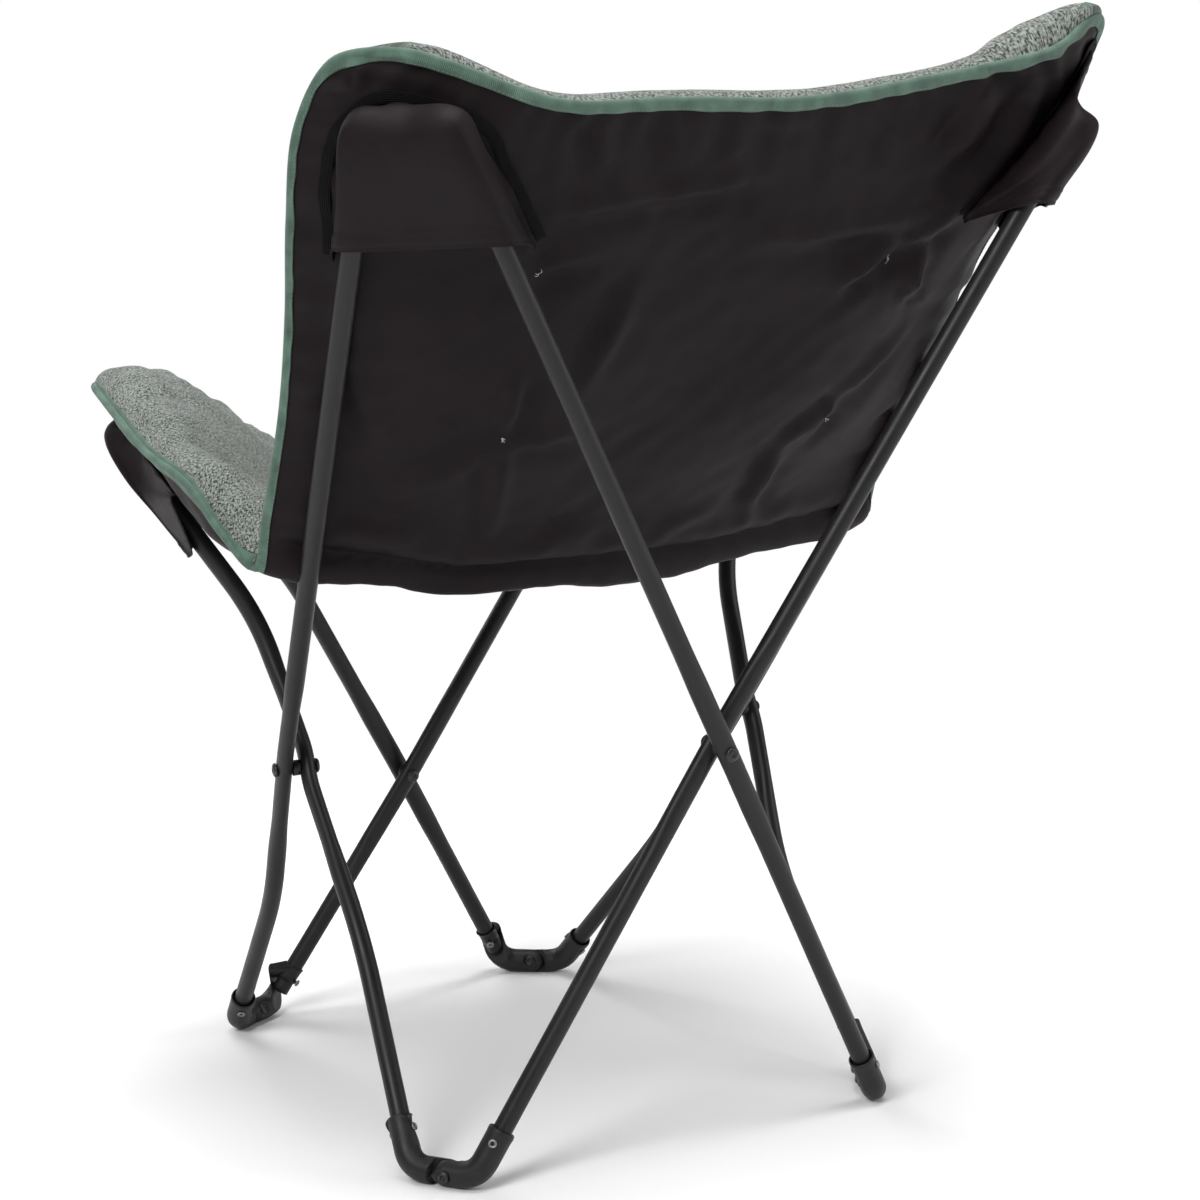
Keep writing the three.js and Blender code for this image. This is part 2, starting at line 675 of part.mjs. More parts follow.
// Binding tape: a channel folded over the sling's edge
function addBinding() {
  const cols = widths.length;
  const rows = levels.length;
  const rings = [];
  for (const index of rimOrder()) {
    const c = index % cols;
    const r = Math.floor(index / cols);
    const [u, v] = gridAt(c, r);
    const [inU, inV] = gridAt(THREE.MathUtils.clamp(c, 1, cols - 2), THREE.MathUtils.clamp(r, 1, rows - 2));
    const top = coverThick + fit + padEdge + tapeGap;
    const edge = slingFace(u, v);
    const inner = slingFace(inU, inV);
    const atCorner = (c === 0 || c === cols - 1) && (r === 0 || r === rows - 1);
    const nearCorner = c === 1 || c === cols - 2 || r === 1 || r === rows - 2;
    if (nearCorner && !atCorner) {
      const [nextU, nextV] = gridAt(THREE.MathUtils.clamp(c, 2, cols - 3), r);
      const [overU, overV] = gridAt(c, THREE.MathUtils.clamp(r, 2, rows - 3));
      const next = r === 0 || r === rows - 1 ? slingFace(nextU, inV) : slingFace(inU, overV);
      inner.lerp(next, 0.15);
    }
    const normal = slingNormal(u, v);
    const innerNormal = slingNormal(inU, inV);
    const out = edge.clone().sub(inner);
    out.addScaledVector(normal, -out.dot(normal)).normalize();
    const place = (p, n, lift, push) => p.clone().addScaledVector(n, lift).addScaledVector(out, push);
    rings.push([
      place(inner, innerNormal, top + tapeThick, 0),
      place(edge, normal, top + tapeThick, tapeGap + tapeThick),
      place(edge, normal, -tapeGap - tapeThick, tapeGap + tapeThick),
      place(inner, innerNormal, -tapeGap - tapeThick, 0),
      place(inner, innerNormal, -tapeGap, 0),
      place(edge, normal, -tapeGap, tapeGap),
      place(edge, normal, top, tapeGap),
      place(inner, innerNormal, top, 0),
    ]);
  }
  addMesh('sling_binding', ringLoop(rings), greenTape());
}

// Pockets: a flap sewn to the sling along a border and open at a hem that passes outside the tubes

function gridShell(at, cells, thick) {
  const [m, n] = cells;
  const points = [];
  const grid = [];
  for (let j = 0; j <= n; j++) {
    for (let i = 0; i <= m; i++) grid.push(at(i / m, j / n));
  }
  const pick = (i, j) => grid[Math.min(n, Math.max(0, j)) * (m + 1) + Math.min(m, Math.max(0, i))];
  const normals = grid.map((p, k) => {
    const i = k % (m + 1);
    const j = Math.floor(k / (m + 1));
    const across = pick(i + 1, j).clone().sub(pick(i - 1, j));
    const down = pick(i, j + 1).clone().sub(pick(i, j - 1));
    return across.cross(down).normalize();
  });
  points.push(...grid, ...grid.map((p, k) => p.clone().addScaledVector(normals[k], thick)));
  const half = grid.length;
  const faces = [];
  for (let j = 0; j < n; j++) {
    for (let i = 0; i < m; i++) {
      const a = j * (m + 1) + i;
      const b = a + 1;
      const d = a + m + 1;
      const e = d + 1;
      faces.push(a, e, b, a, d, e);
      faces.push(half + a, half + b, half + e, half + a, half + e, half + d);
    }
  }
  const rim = [];
  for (let i = 0; i < m; i++) rim.push(i);
  for (let j = 0; j < n; j++) rim.push(j * (m + 1) + m);
  for (let i = m; i > 0; i--) rim.push(n * (m + 1) + i);
  for (let j = n; j > 0; j--) rim.push(j * (m + 1));
  for (let k = 0; k < rim.length; k++) {
    const a = rim[k];
    const b = rim[(k + 1) % rim.length];
    faces.push(a, b, b + half, a, b + half, a + half);
  }
  return geometryFrom(points, faces);
}

// A flap through four curves, from its sewn border over the knuckles to its hem
function flapThrough(curves, thick, turn, flip) {
  const lines = curves.map((points) => new THREE.CatmullRomCurve3(points));
  const at = (a, b) => {
    const across = new THREE.CatmullRomCurve3(lines.map((line) => line.getPoint(turn ? 1 - a : a)));
    return flip(across.getPoint(b));
  };
  return gridShell(at, [14, 6], thick);
}

const asIs = (v) => v.clone();
const upward = new THREE.Vector3(0, 0, 1);
const bothSides = [['left', asIs], ['right', mirrored]];

function addBackPockets() {
  const rho = backTopAxis.clone();
  const tau = new THREE.Vector3(rho.y, -rho.x, 0);
  const off = (p, r, t, z) =>
    p.clone().addScaledVector(rho, r).addScaledVector(tau, t).addScaledVector(upward, z);
  const sideCorner = backTop.clone().add(backTopSideArm);
  const backCorner = backTop.clone().add(backTopArm).addScaledVector(backAxis, cornerOffset);
  const sidePoint = sidePivot.clone().addScaledVector(sideAxis, barOffset);
  const backPoint = backPivot.clone().addScaledVector(backAxis, barOffset);
  const sideAt = (drop) => sideCorner.clone().lerp(sidePoint, drop / (sideCorner.z - sidePoint.z));
  const backAt = (drop) => backCorner.clone().lerp(backPoint, drop / (backCorner.z - backPoint.z));
  const half = pocketDrop * 0.45;
  const border = backBorder.map(([u, v]) => slingAt(u, v, -pocketGap));
  const first = border[0];
  const last = border[border.length - 1];
  const k = knuckleRadius + pocketRoom;
  const t = tubeRadius + pocketRoom;
  const crown = [off(first, 1, 0, -1.5), off(sideAt(half), 0, k, 0), off(sideCorner, 4, k * 0.8, k * 0.8),
    off(backTop, 2, 0, k + 1), off(backCorner, 2, -k * 0.7, k), off(backAt(half), -k, -k * 0.7, 0),
    off(last, 1, 0, -1.5)];
  const outer = [off(first, 2, 0, -3), off(sideAt(half), k * 0.75, k * 0.75, 0),
    off(sideCorner, k, k * 0.7, 0), off(backTop, k, 0, 0), off(backCorner, k, -k * 0.65, 0),
    off(backAt(half), 0, -k, 0), off(last, 2, 0, -3)];
  const hem = [off(first, 3, 0, -5), off(sideAt(pocketDrop), t * 0.75, t * 0.75, 0),
    off(sideAt(pocketDrop), t + 2, 0, 0),
    off(sideAt(pocketDrop).lerp(backAt(pocketDrop), 0.5), t, 0, 0), off(backAt(pocketDrop), t + 2, 0, 0),
    off(backAt(pocketDrop), t * 0.3, -t - 2, 0), off(last, 3, 0, -5)];
  for (const [word, flip] of bothSides) {
    const turn = word === 'left';
    const flap = flapThrough([border, crown, outer, hem], pocketThick, turn, flip);
    addMesh(`back_${word}_pocket`, flap, blackCloth());
  }
}

function addArmPockets() {
  const rho = armTopAxis.clone();
  const tau = new THREE.Vector3(-rho.y, rho.x, 0);
  const sideCorner = armTop.clone().add(armTopSideArm);
  const frontCorner = armTop.clone().add(armTopArm);
  const sideRun = lowBarTopBend.clone().sub(sideCorner).normalize();
  const frontRun = frontTopBend.clone().addScaledVector(frontAxis, -barOffset).sub(frontCorner).normalize();
  const out = frontRun.clone().cross(sideRun).normalize();
  if (out.z > 0) out.negate();
  const sideAway = out.clone().cross(sideRun).normalize();
  if (sideAway.dot(tau) < 0) sideAway.negate();
  const frontAway = out.clone().cross(frontRun).normalize();
  if (frontAway.dot(tau) > 0) frontAway.negate();
  const off = (p, o, t) =>
    p.clone().addScaledVector(out, o).addScaledVector(t > 0 ? sideAway : frontAway, Math.abs(t));
  const sideAt = (d) => sideCorner.clone().addScaledVector(sideRun, d);
  const frontAt = (d) => frontCorner.clone().addScaledVector(frontRun, d);
  const border = armBorder.map(([u, v]) => slingAt(u, v, -pocketGap));
  const first = border[0];
  const last = border[border.length - 1];
  const k = knuckleRadius + pocketRoom;
  const t = tubeRadius + pocketRoom;
  const beside = (p, r, z, s) =>
    p.clone().addScaledVector(rho, r).addScaledVector(tau, s).addScaledVector(upward, z);
  const half = armPocketDrop * 0.45;
  const crown = [off(first, 1, 0.4), off(sideAt(half * 0.7), 2, k),
    beside(sideCorner, k * 0.75, k * 0.5, k * 0.6), beside(armTop, k, k * 0.45, 0),
    beside(frontCorner, k * 0.75, k * 0.5, -k * 0.6), off(frontAt(half * 0.7), 2, -k),
    off(last, 1, -0.4)];
  const outer = [off(first, 2.5, 0.8), off(sideAt(half), k * 0.8, k * 0.75), off(sideCorner, k, k * 0.5),
    beside(armTop, k * 0.9, -k * 0.5, 0), off(frontCorner, k, -k * 0.5),
    off(frontAt(half), k * 0.8, -k * 0.75),
    off(last, 2.5, -0.8)];
  const hem = [off(first, 4, 1.2), off(sideAt(armPocketDrop), t * 0.6, t * 0.9),
    off(sideAt(armPocketDrop), t + 2, 0),
    off(sideAt(armPocketDrop).lerp(frontAt(armPocketDrop), 0.5), t, 0),
    off(frontAt(armPocketDrop), t + 2, 0),
    off(frontAt(armPocketDrop), t * 0.6, -t * 0.9), off(last, 4, -1.2)];
  for (const [word, flip] of bothSides) {
    const turn = word !== 'left';
    const flap = flapThrough([border, crown, outer, hem], pocketThick, turn, flip);
    addMesh(`arm_${word}_pocket`, flap, blackCloth());
  }
}

// Webbing sewn round the border of each back pocket
function addBorders() {
  const line = new THREE.CatmullRomCurve3(backBorder.map(([u, v]) => new THREE.Vector3(u, v, 0)));
  const steps = 22;
  for (const [word, flip] of [['left', 1], ['right', -1]]) {
    const rings = [];
    for (let i = 0; i <= steps; i++) {
      const t = i / steps;
      const p = line.getPoint(t);
      const ahead = line.getPoint(Math.min(1, t + 0.01));
      const behind = line.getPoint(Math.max(0, t - 0.01));
      const run = slingFace(ahead.x, ahead.y).sub(slingFace(behind.x, behind.y)).normalize();
      const normal = slingNormal(p.x, p.y);
      const side = run.clone().cross(normal).normalize();
      const base = slingFace(p.x, p.y);
      const place = (lift, push) => {
        const q = base.clone().addScaledVector(normal, -lift).addScaledVector(side, push);
        return new THREE.Vector3(q.x * flip, q.y, q.z);
      };
      const near = borderGap;
      const far = borderGap + borderWidth;
      const low = pocketGap;
      const high = pocketGap + borderThick;
      const ring = [place(low, near), place(low, far), place(high, far), place(high, near)];
      rings.push(flip > 0 ? ring : ring.reverse());
    }
    addMesh(`back_${word}_pocket_border`, loft(rings), webbing());
  }
}

addBackBars();
addFrontBars();
addSideBars();
addHingeRivets();
addPivots();
addSling();
addBinding();
addBackPockets();
addArmPockets();
addBorders();

// The box's bottom centre is the origin
const box = new THREE.Box3().setFromObject(chair);
const centreY = (box.min.y + box.max.y) / 2;
for (const mesh of chair.children) mesh.geometry.translate(0, -centreY, 0);

export default chair;
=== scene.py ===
import math

import bpy
import numpy as np
from bpy.props import FloatProperty, FloatVectorProperty, IntProperty, PointerProperty
from mathutils import Matrix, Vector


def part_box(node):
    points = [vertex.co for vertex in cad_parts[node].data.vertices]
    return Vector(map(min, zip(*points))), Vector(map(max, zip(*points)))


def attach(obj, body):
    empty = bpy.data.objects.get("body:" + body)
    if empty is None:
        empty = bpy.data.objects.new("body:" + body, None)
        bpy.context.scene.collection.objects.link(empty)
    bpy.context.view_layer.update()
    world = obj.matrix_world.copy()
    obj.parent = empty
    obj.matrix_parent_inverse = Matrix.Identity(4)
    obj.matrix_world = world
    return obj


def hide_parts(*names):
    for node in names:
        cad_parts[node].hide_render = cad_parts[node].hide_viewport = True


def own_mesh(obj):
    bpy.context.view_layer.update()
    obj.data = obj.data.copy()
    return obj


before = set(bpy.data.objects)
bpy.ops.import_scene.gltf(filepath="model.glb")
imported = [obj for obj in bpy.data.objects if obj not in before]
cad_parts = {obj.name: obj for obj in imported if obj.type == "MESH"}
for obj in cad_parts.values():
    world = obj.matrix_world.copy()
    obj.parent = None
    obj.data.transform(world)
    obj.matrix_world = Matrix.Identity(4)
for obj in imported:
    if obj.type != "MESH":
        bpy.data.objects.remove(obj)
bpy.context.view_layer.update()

bl_info = {
    "name": "Folding butterfly chair",
    "version": (1, 0, 0),
    "blender": (4, 5, 0),
    "location": "View3D > Sidebar > Chair",
    "description": "Dresses the packed frame of a folding butterfly chair with its padded sling",
    "category": "Object",
}

# Places are drawn in millimetres before the model was centred in depth, so the pivot's spacer gives the shift
DRAWN_PIVOT_Y = 239.0
SHIFT_Y = 500.0 * sum(corner[1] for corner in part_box("back_pivot_spacer")) - DRAWN_PIVOT_Y
# Metres in a millimetre
MM = 0.001


def vec(*numbers):
    return np.array(numbers, float)


def unit(v):
    v = np.asarray(v, float)
    return v / np.linalg.norm(v, axis=-1, keepdims=True)


def metres(points):
    """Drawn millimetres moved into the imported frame, in metres."""
    return (np.asarray(points, float) + vec(0, SHIFT_Y, 0)) * MM


# Settings

def mm(name, description, default):
    return FloatProperty(name=name, description=description, default=default)


def whole(name, description, default, least):
    return IntProperty(name=name, description=description, default=default, min=least)


class ChairFrameSizes(bpy.types.PropertyGroup):
    """Sizes of the tubes, knuckles and fasteners, in millimetres."""
    tube_radius: mm("Tube radius", "Half the width of a round tube", 8.0)
    oval_thick: mm("Oval half thickness", "Squeezed tube across its pivot", 6.8)
    oval_wide: mm("Oval half width", "Squeezed tube along its pivot", 8.9)
    oval_reach: mm("Oval reach", "Fully squeezed length beside a pivot", 58.0)
    oval_fade: mm("Oval fade", "Length over which the tube turns round", 45.0)
    bar_offset: mm("Bar offset", "From the pivot's middle to each bar", 10.0)
    socket_length: mm("Socket length", "From the rim to the elbow corner", 42.0)
    tube_inset: mm("Tube inset", "Length of tube inside a socket", 27.0)
    knuckle_radius: mm("Knuckle radius", "Outside of a socket", 10.83)
    elbow_reach: mm("Elbow reach", "How far the elbow's bend reaches", 15.0)
    lug_room: mm("Lug room", "Free ring about the mating lug", 3.8)
    mouth_radius: mm("Mouth radius", "Inside of a socket at its rim", 9.5)
    tube_sides: whole("Tube sides", "Points round a tube", 36, 12)
    knuckle_sides: whole("Knuckle sides", "Points round a knuckle", 56, 16)


class ChairSlingSizes(bpy.types.PropertyGroup):
    """Sizes of the padded sling, in millimetres."""
    cover_thick: mm("Cover thickness", "Black cloth on the back", 1.4)
    pad_edge: mm("Pad edge", "Filling squeezed under the tape", 2.2)
    pad_full: mm("Pad fullness", "Thickest filling", 31.0)
    tuft_depth: mm("Tuft depth", "Pull of a tuft stitch", 19.0)
    tape_width: mm("Tape width", "Binding tape on each face", 6.8)
    stitch_step: mm("Stitch step", "From stitch to stitch on the tape", 3.4)
    tape_thick: mm("Tape thickness", "Binding tape", 1.1)
    pocket_thick: mm("Pocket thickness", "Pocket cloth", 1.5)
    border_width: mm("Border width", "Webbing round a back pocket", 9.5)
    border_thick: mm("Border thickness", "Webbing round a back pocket", 1.7)
    back_room: mm("Back pocket room", "Cloth from a back knuckle", 4.5)
    arm_room: mm("Arm pocket room", "Cloth from an arm knuckle", 1.6)
    tape_rings: whole("Tape rings", "Profiles round the rim", 640, 60)
    columns: whole("Columns", "Cells across the sling", 150, 20)
    rows: whole("Rows", "Cells from the top edge to the front edge", 190, 20)


def colour(name, description, rgb):
    return FloatVectorProperty(name=name, description=description, default=rgb, subtype="COLOR", min=0, max=1)


class ChairColours(bpy.types.PropertyGroup):
    """Base colours of the finishes, linear."""
    steel: colour("Tube coat", "Satin coat of the tubes", (0.0098, 0.009, 0.0093))
    plastic: colour("Knuckle plastic", "Moulded knuckles and spacers", (0.0095, 0.009, 0.0092))
    rivet: colour("Rivet steel", "Bare rims of the rivets", (0.36, 0.355, 0.35))
    bolt: colour("Bolt coat", "Blackened bolts", (0.03, 0.029, 0.029))
    melange_light: colour("Melange, light thread", "Sitting side", (0.27, 0.29, 0.266))
    melange_dark: colour("Melange, dark thread", "Sitting side", (0.014, 0.021, 0.018))
    cloth: colour("Back cloth", "Black polyester", (0.0086, 0.0058, 0.0064))
    tape: colour("Binding tape", "Sage green herringbone", (0.082, 0.138, 0.108))
    thread: colour("Thread", "Tuft stitches", (0.5, 0.5, 0.48))
    stitch: colour("Tape thread", "Stitches of the binding", (0.2, 0.29, 0.25))
    webbing: colour("Webbing", "Border of the back pockets", (0.0035, 0.0032, 0.0033))
    floor: colour("Floor", "Pale studio floor", (0.93, 0.93, 0.93))


def sizes():
    return bpy.context.scene.chair_frame


def sling_sizes():
    return bpy.context.scene.chair_sling


def colours():
    return bpy.context.scene.chair_colours


# Meshes from grids

def grid_quads(rows, cols, wrap):
    """Corner numbers of every cell of a rows by cols grid; wrap joins the last column to the first."""
    r = np.arange(rows - 1)[:, None]
    c = np.arange(cols if wrap else cols - 1)[None, :]
    nxt = (c + 1) % cols
    return np.stack([r * cols + c, r * cols + nxt, (r + 1) * cols + nxt, (r + 1) * cols + c], -1).reshape(-1, 4)


def grid_uv(rows, cols, wrap, u, v):
    """UV of every cell corner, in grid order, from u of each column, one more than cols if wrapped, and v of
    each row."""
    r, c = np.mgrid[:rows - 1, :cols if wrap else cols - 1]
    corner = [(r, c), (r, c + 1), (r + 1, c + 1), (r + 1, c)]
    return np.stack([np.stack([u[b], v[a]], -1) for a, b in corner], 2).reshape(-1, 2)


def new_piece(name, points, faces, uv=None, material=None, body=None, replaced=()):
    """A mesh object at the origin from points in metres and lists of faces, smooth, with its UV map."""
    mesh = bpy.data.meshes.new(name)
    mesh.from_pydata(np.asarray(points).reshape(-1, 3).tolist(), [], [list(f) for f in faces])
    mesh.polygons.foreach_set("use_smooth", np.ones(len(mesh.polygons), bool))
    if uv is not None:
        layer = mesh.uv_layers.new(name="UVMap")
        full = np.zeros((len(mesh.loops), 2), np.float32)
        full[:len(uv)] = uv
        layer.data.foreach_set("uv", full.ravel())
    mesh.validate()
    mesh.update()
    piece = bpy.data.objects.new(name, mesh)
    bpy.context.scene.collection.objects.link(piece)
    if material:
        mesh.materials.append(material)
    if body:
        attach(piece, body)
    if replaced:
        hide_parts(*replaced)
    return piece


def tube_mesh(grid, wrap_u, v):
    """Faces and UV of a grid of rings, closed round, with a flat face on its first and last ring."""
    rows, cols = grid.shape[:2]
    faces = grid_quads(rows, cols, True).tolist()
    uv = grid_uv(rows, cols, True, wrap_u, v)
    faces.append(list(range(cols))[::-1])
    faces.append(list(range((rows - 1) * cols, rows * cols)))
    return faces, uv


def ring_angles(sides):
    return 2 * np.pi * np.arange(sides) / sides


def sums(steps, axis=0):
    """Running sums along an axis, from nought."""
    return np.insert(np.cumsum(steps, axis), 0, 0, axis)


def run_length(points):
    """Distance along a line of points, from its first."""
    return sums(np.linalg.norm(np.diff(points, axis=0), axis=1))


def at_runs(at, run, points):
    """Places at given distances along a line of points."""
    return np.stack([np.interp(at, run, points[:, k]) for k in range(3)], 1)


def rings(line, across, along, wide, high):
    """Points round each point of a line, from their reach in two directions."""
    return line[:, None] + across[:, None] * wide[..., None] + along[:, None] * high[..., None]


def smooth_step(x):
    t = np.clip(x, 0, 1)
    return t * t * (3 - 2 * t)


def bell(x, at, wide):
    return np.exp(-((x - at) / wide) ** 2)


def fade(away, length):
    return np.exp(-away / length)


def rise(away, length):
    return 1 - np.exp(-away / length)


# Paths of the bars

KNUCKLE_RADIUS = 10.827
SOLE_FLAT = 0.45
FOOT_Z = KNUCKLE_RADIUS - SOLE_FLAT
BACK_FOOT, FRONT_FOOT = vec(211, 168, FOOT_Z), vec(153, -298, FOOT_Z)
BACK_TOP, ARM_TOP = vec(306, 291, 828), vec(306, -191, 571)
BACK_PIVOT, FRONT_PIVOT, SIDE_PIVOT = vec(0, 239, 343), vec(0, -279, 226), vec(229, -51, 300)
BACK_AXIS, FRONT_AXIS = unit(vec(0, 0.9916, -0.1295)), unit(vec(0, 0.9921, -0.1256))
SIDE_AXIS = unit(vec(1.771, -0.46, -0.097))
BACK_FOOT_AXIS, FRONT_FOOT_AXIS = unit(vec(1.197, 0.908, -0.123)), unit(vec(1.281, -1.279, -0.52))
BACK_TOP_AXIS, ARM_TOP_AXIS = unit(vec(0.777, 0.63, 0)), unit(vec(0.75, -0.66, 0))
BACK_FOOT_ARM, BACK_FOOT_SIDE_ARM = vec(-14, 24.5, 0), vec(18.5, -27, 0)
FRONT_FOOT_ARM, FRONT_FOOT_SIDE_ARM = vec(-24.5, -15, 0), vec(24.5, 15, 0)
BACK_TOP_ARM, BACK_TOP_SIDE_ARM = vec(-18.9, 23.3, 2), vec(18.9, -23.3, 2)
ARM_TOP_ARM, ARM_TOP_SIDE_ARM = vec(-19.8, -22.5, 0), vec(19.8, 22.5, 0)
HIGH_BEND, LOW_BEND = vec(204, -137, 165), vec(213, 22, 164)
LOW_TOP_BEND, FRONT_TOP_BEND = vec(241, -107, 421), vec(123, -257, 426)
CORNER_OFFSET, BEND_LEAN, STRAIGHT_HALF = 3.0, 6.0, 14.0
BEND_REACH, LOW_BEND_REACH, BOW_REACH = 36.0, 40.0, 10.0
FOOT_LAP, TOP_LAP, TOP_SLACK, OPEN_END = 0.2, 2.6, 3.0, 0.6
MIRROR = vec(-1, 1, 1)
SIDES = (("left", 1.0, vec(1, 1, 1)), ("right", -1.0, MIRROR))
# Least distance in mm from a cut end to the next point
CUT_ROOM = 0.5


def straddle(pivot, axis, start, end):
    """Two corners either side of a pivot, so that the bar runs straight and square to the axis there."""
    run = end - start
    run = unit(run - axis * np.dot(run, axis))
    return [pivot - run * STRAIGHT_HALF, pivot + run * STRAIGHT_HALF]


def all_bars():
    """Corners, bends, pivot and hinges of the eight bars, from the foot to the top."""
    offset = sizes().bar_offset
    bars = []
    for name, side, flip in (("back_outer", 1, vec(1, 1, 1)), ("back_inner", -1, MIRROR)):
        shift = BACK_AXIS * side * CORNER_OFFSET
        foot = (BACK_FOOT + BACK_FOOT_ARM) * flip * MIRROR + shift
        top = (BACK_TOP + BACK_TOP_ARM) * flip + shift
        pivot = BACK_PIVOT + BACK_AXIS * side * offset
        bars.append(dict(
            name=name, corners=[foot, *straddle(pivot, BACK_AXIS, foot, top), top], reaches=[BOW_REACH] * 2,
            pivot=pivot, axis=BACK_AXIS, along=False,
            foot=(BACK_FOOT * flip * MIRROR, BACK_FOOT_AXIS * flip * MIRROR, 1),
            top=(BACK_TOP * flip, BACK_TOP_AXIS * flip, 1)))
    for name, side, flip in (("front_outer", -1, vec(1, 1, 1)), ("front_inner", 1, MIRROR)):
        foot = (FRONT_FOOT + FRONT_FOOT_ARM) * flip * MIRROR + FRONT_AXIS * side * CORNER_OFFSET
        bend = FRONT_TOP_BEND * flip + FRONT_AXIS * side * offset
        pivot = FRONT_PIVOT + FRONT_AXIS * side * offset
        bars.append(dict(
            name=name,
            corners=[foot, *straddle(pivot, FRONT_AXIS, foot, bend), bend, (ARM_TOP + ARM_TOP_ARM) * flip],
            reaches=[BOW_REACH, BOW_REACH, BEND_REACH], pivot=pivot, axis=FRONT_AXIS, along=False,
            foot=(FRONT_FOOT * flip * MIRROR, FRONT_FOOT_AXIS * flip * MIRROR, -1),
            top=(ARM_TOP * flip, ARM_TOP_AXIS * flip, 1)))
    for word, flip, order in (("left", vec(1, 1, 1), 1), ("right", MIRROR, -1)):
        axis = SIDE_AXIS * flip
        lean = vec(order * BEND_LEAN, 0, 0) * flip
        pivot = SIDE_PIVOT * flip + axis * order * offset
        foot, top = (FRONT_FOOT + FRONT_FOOT_SIDE_ARM) * flip, (BACK_TOP + BACK_TOP_SIDE_ARM) * flip
        bend = HIGH_BEND * flip + lean
        bars.append(dict(
            name=f"{word}_high", corners=[foot, bend, *straddle(pivot, axis, bend, top), top],
            reaches=[BEND_REACH, BOW_REACH, BOW_REACH], pivot=pivot, axis=axis, along=True,
            foot=(FRONT_FOOT * flip, FRONT_FOOT_AXIS * flip, 1), top=(BACK_TOP * flip, BACK_TOP_AXIS * flip, -1)))
        pivot = SIDE_PIVOT * flip - axis * order * offset
        foot, top = (BACK_FOOT + BACK_FOOT_SIDE_ARM) * flip, (ARM_TOP + ARM_TOP_SIDE_ARM) * flip
        bend, top_bend = LOW_BEND * flip - lean, LOW_TOP_BEND * flip - lean
        bars.append(dict(
            name=f"{word}_low", corners=[foot, bend, *straddle(pivot, axis, bend, top_bend), top_bend, top],
            reaches=[LOW_BEND_REACH, BOW_REACH, BOW_REACH, BEND_REACH], pivot=pivot, axis=axis, along=True,
            foot=(BACK_FOOT * flip, BACK_FOOT_AXIS * flip, -1), top=(ARM_TOP * flip, ARM_TOP_AXIS * flip, -1)))
    return bars


def bent_path(corners, reaches, step):
    """Straight legs joined by quadratic bends, each reaching back along its two legs; points about a step apart."""
    pieces, start = [], corners[0]
    for here, before, after, reach in zip(corners[1:-1], corners[:-2], corners[2:], reaches):
        enter, leave = here + unit(before - here) * reach, here + unit(after - here) * reach
        pieces.append((start, (start + enter) / 2, enter))
        pieces.append((enter, here, leave))
        start = leave
    pieces.append((start, (start + corners[-1]) / 2, corners[-1]))
    lines = []
    for a, b, c in pieces:
        count = max(2, int(np.ceil(np.linalg.norm(c - a) / step)))
        t = np.linspace(0, 1, count + 1)[:-1, None]
        lines.append((1 - t) ** 2 * a + 2 * t * (1 - t) * b + t * t * c)
    return np.concatenate(lines + [corners[-1][None]])


def frames_along(points, axis):
    """Unit tangent, direction nearest to the axis, and their cross product at each point of a line."""
    tangent = unit(np.gradient(points, axis=0))
    across = unit(axis - tangent * (tangent @ axis)[:, None])
    return tangent, across, np.cross(tangent, across)


def cut_line(points, start, end):
    """The line without its first and last lengths."""
    run = run_length(points)
    inside = run[(run > start + CUT_ROOM) & (run < run[-1] - end - CUT_ROOM)]
    return at_runs(np.concatenate([[start], inside, [run[-1] - end]]), run, points)


# Materials

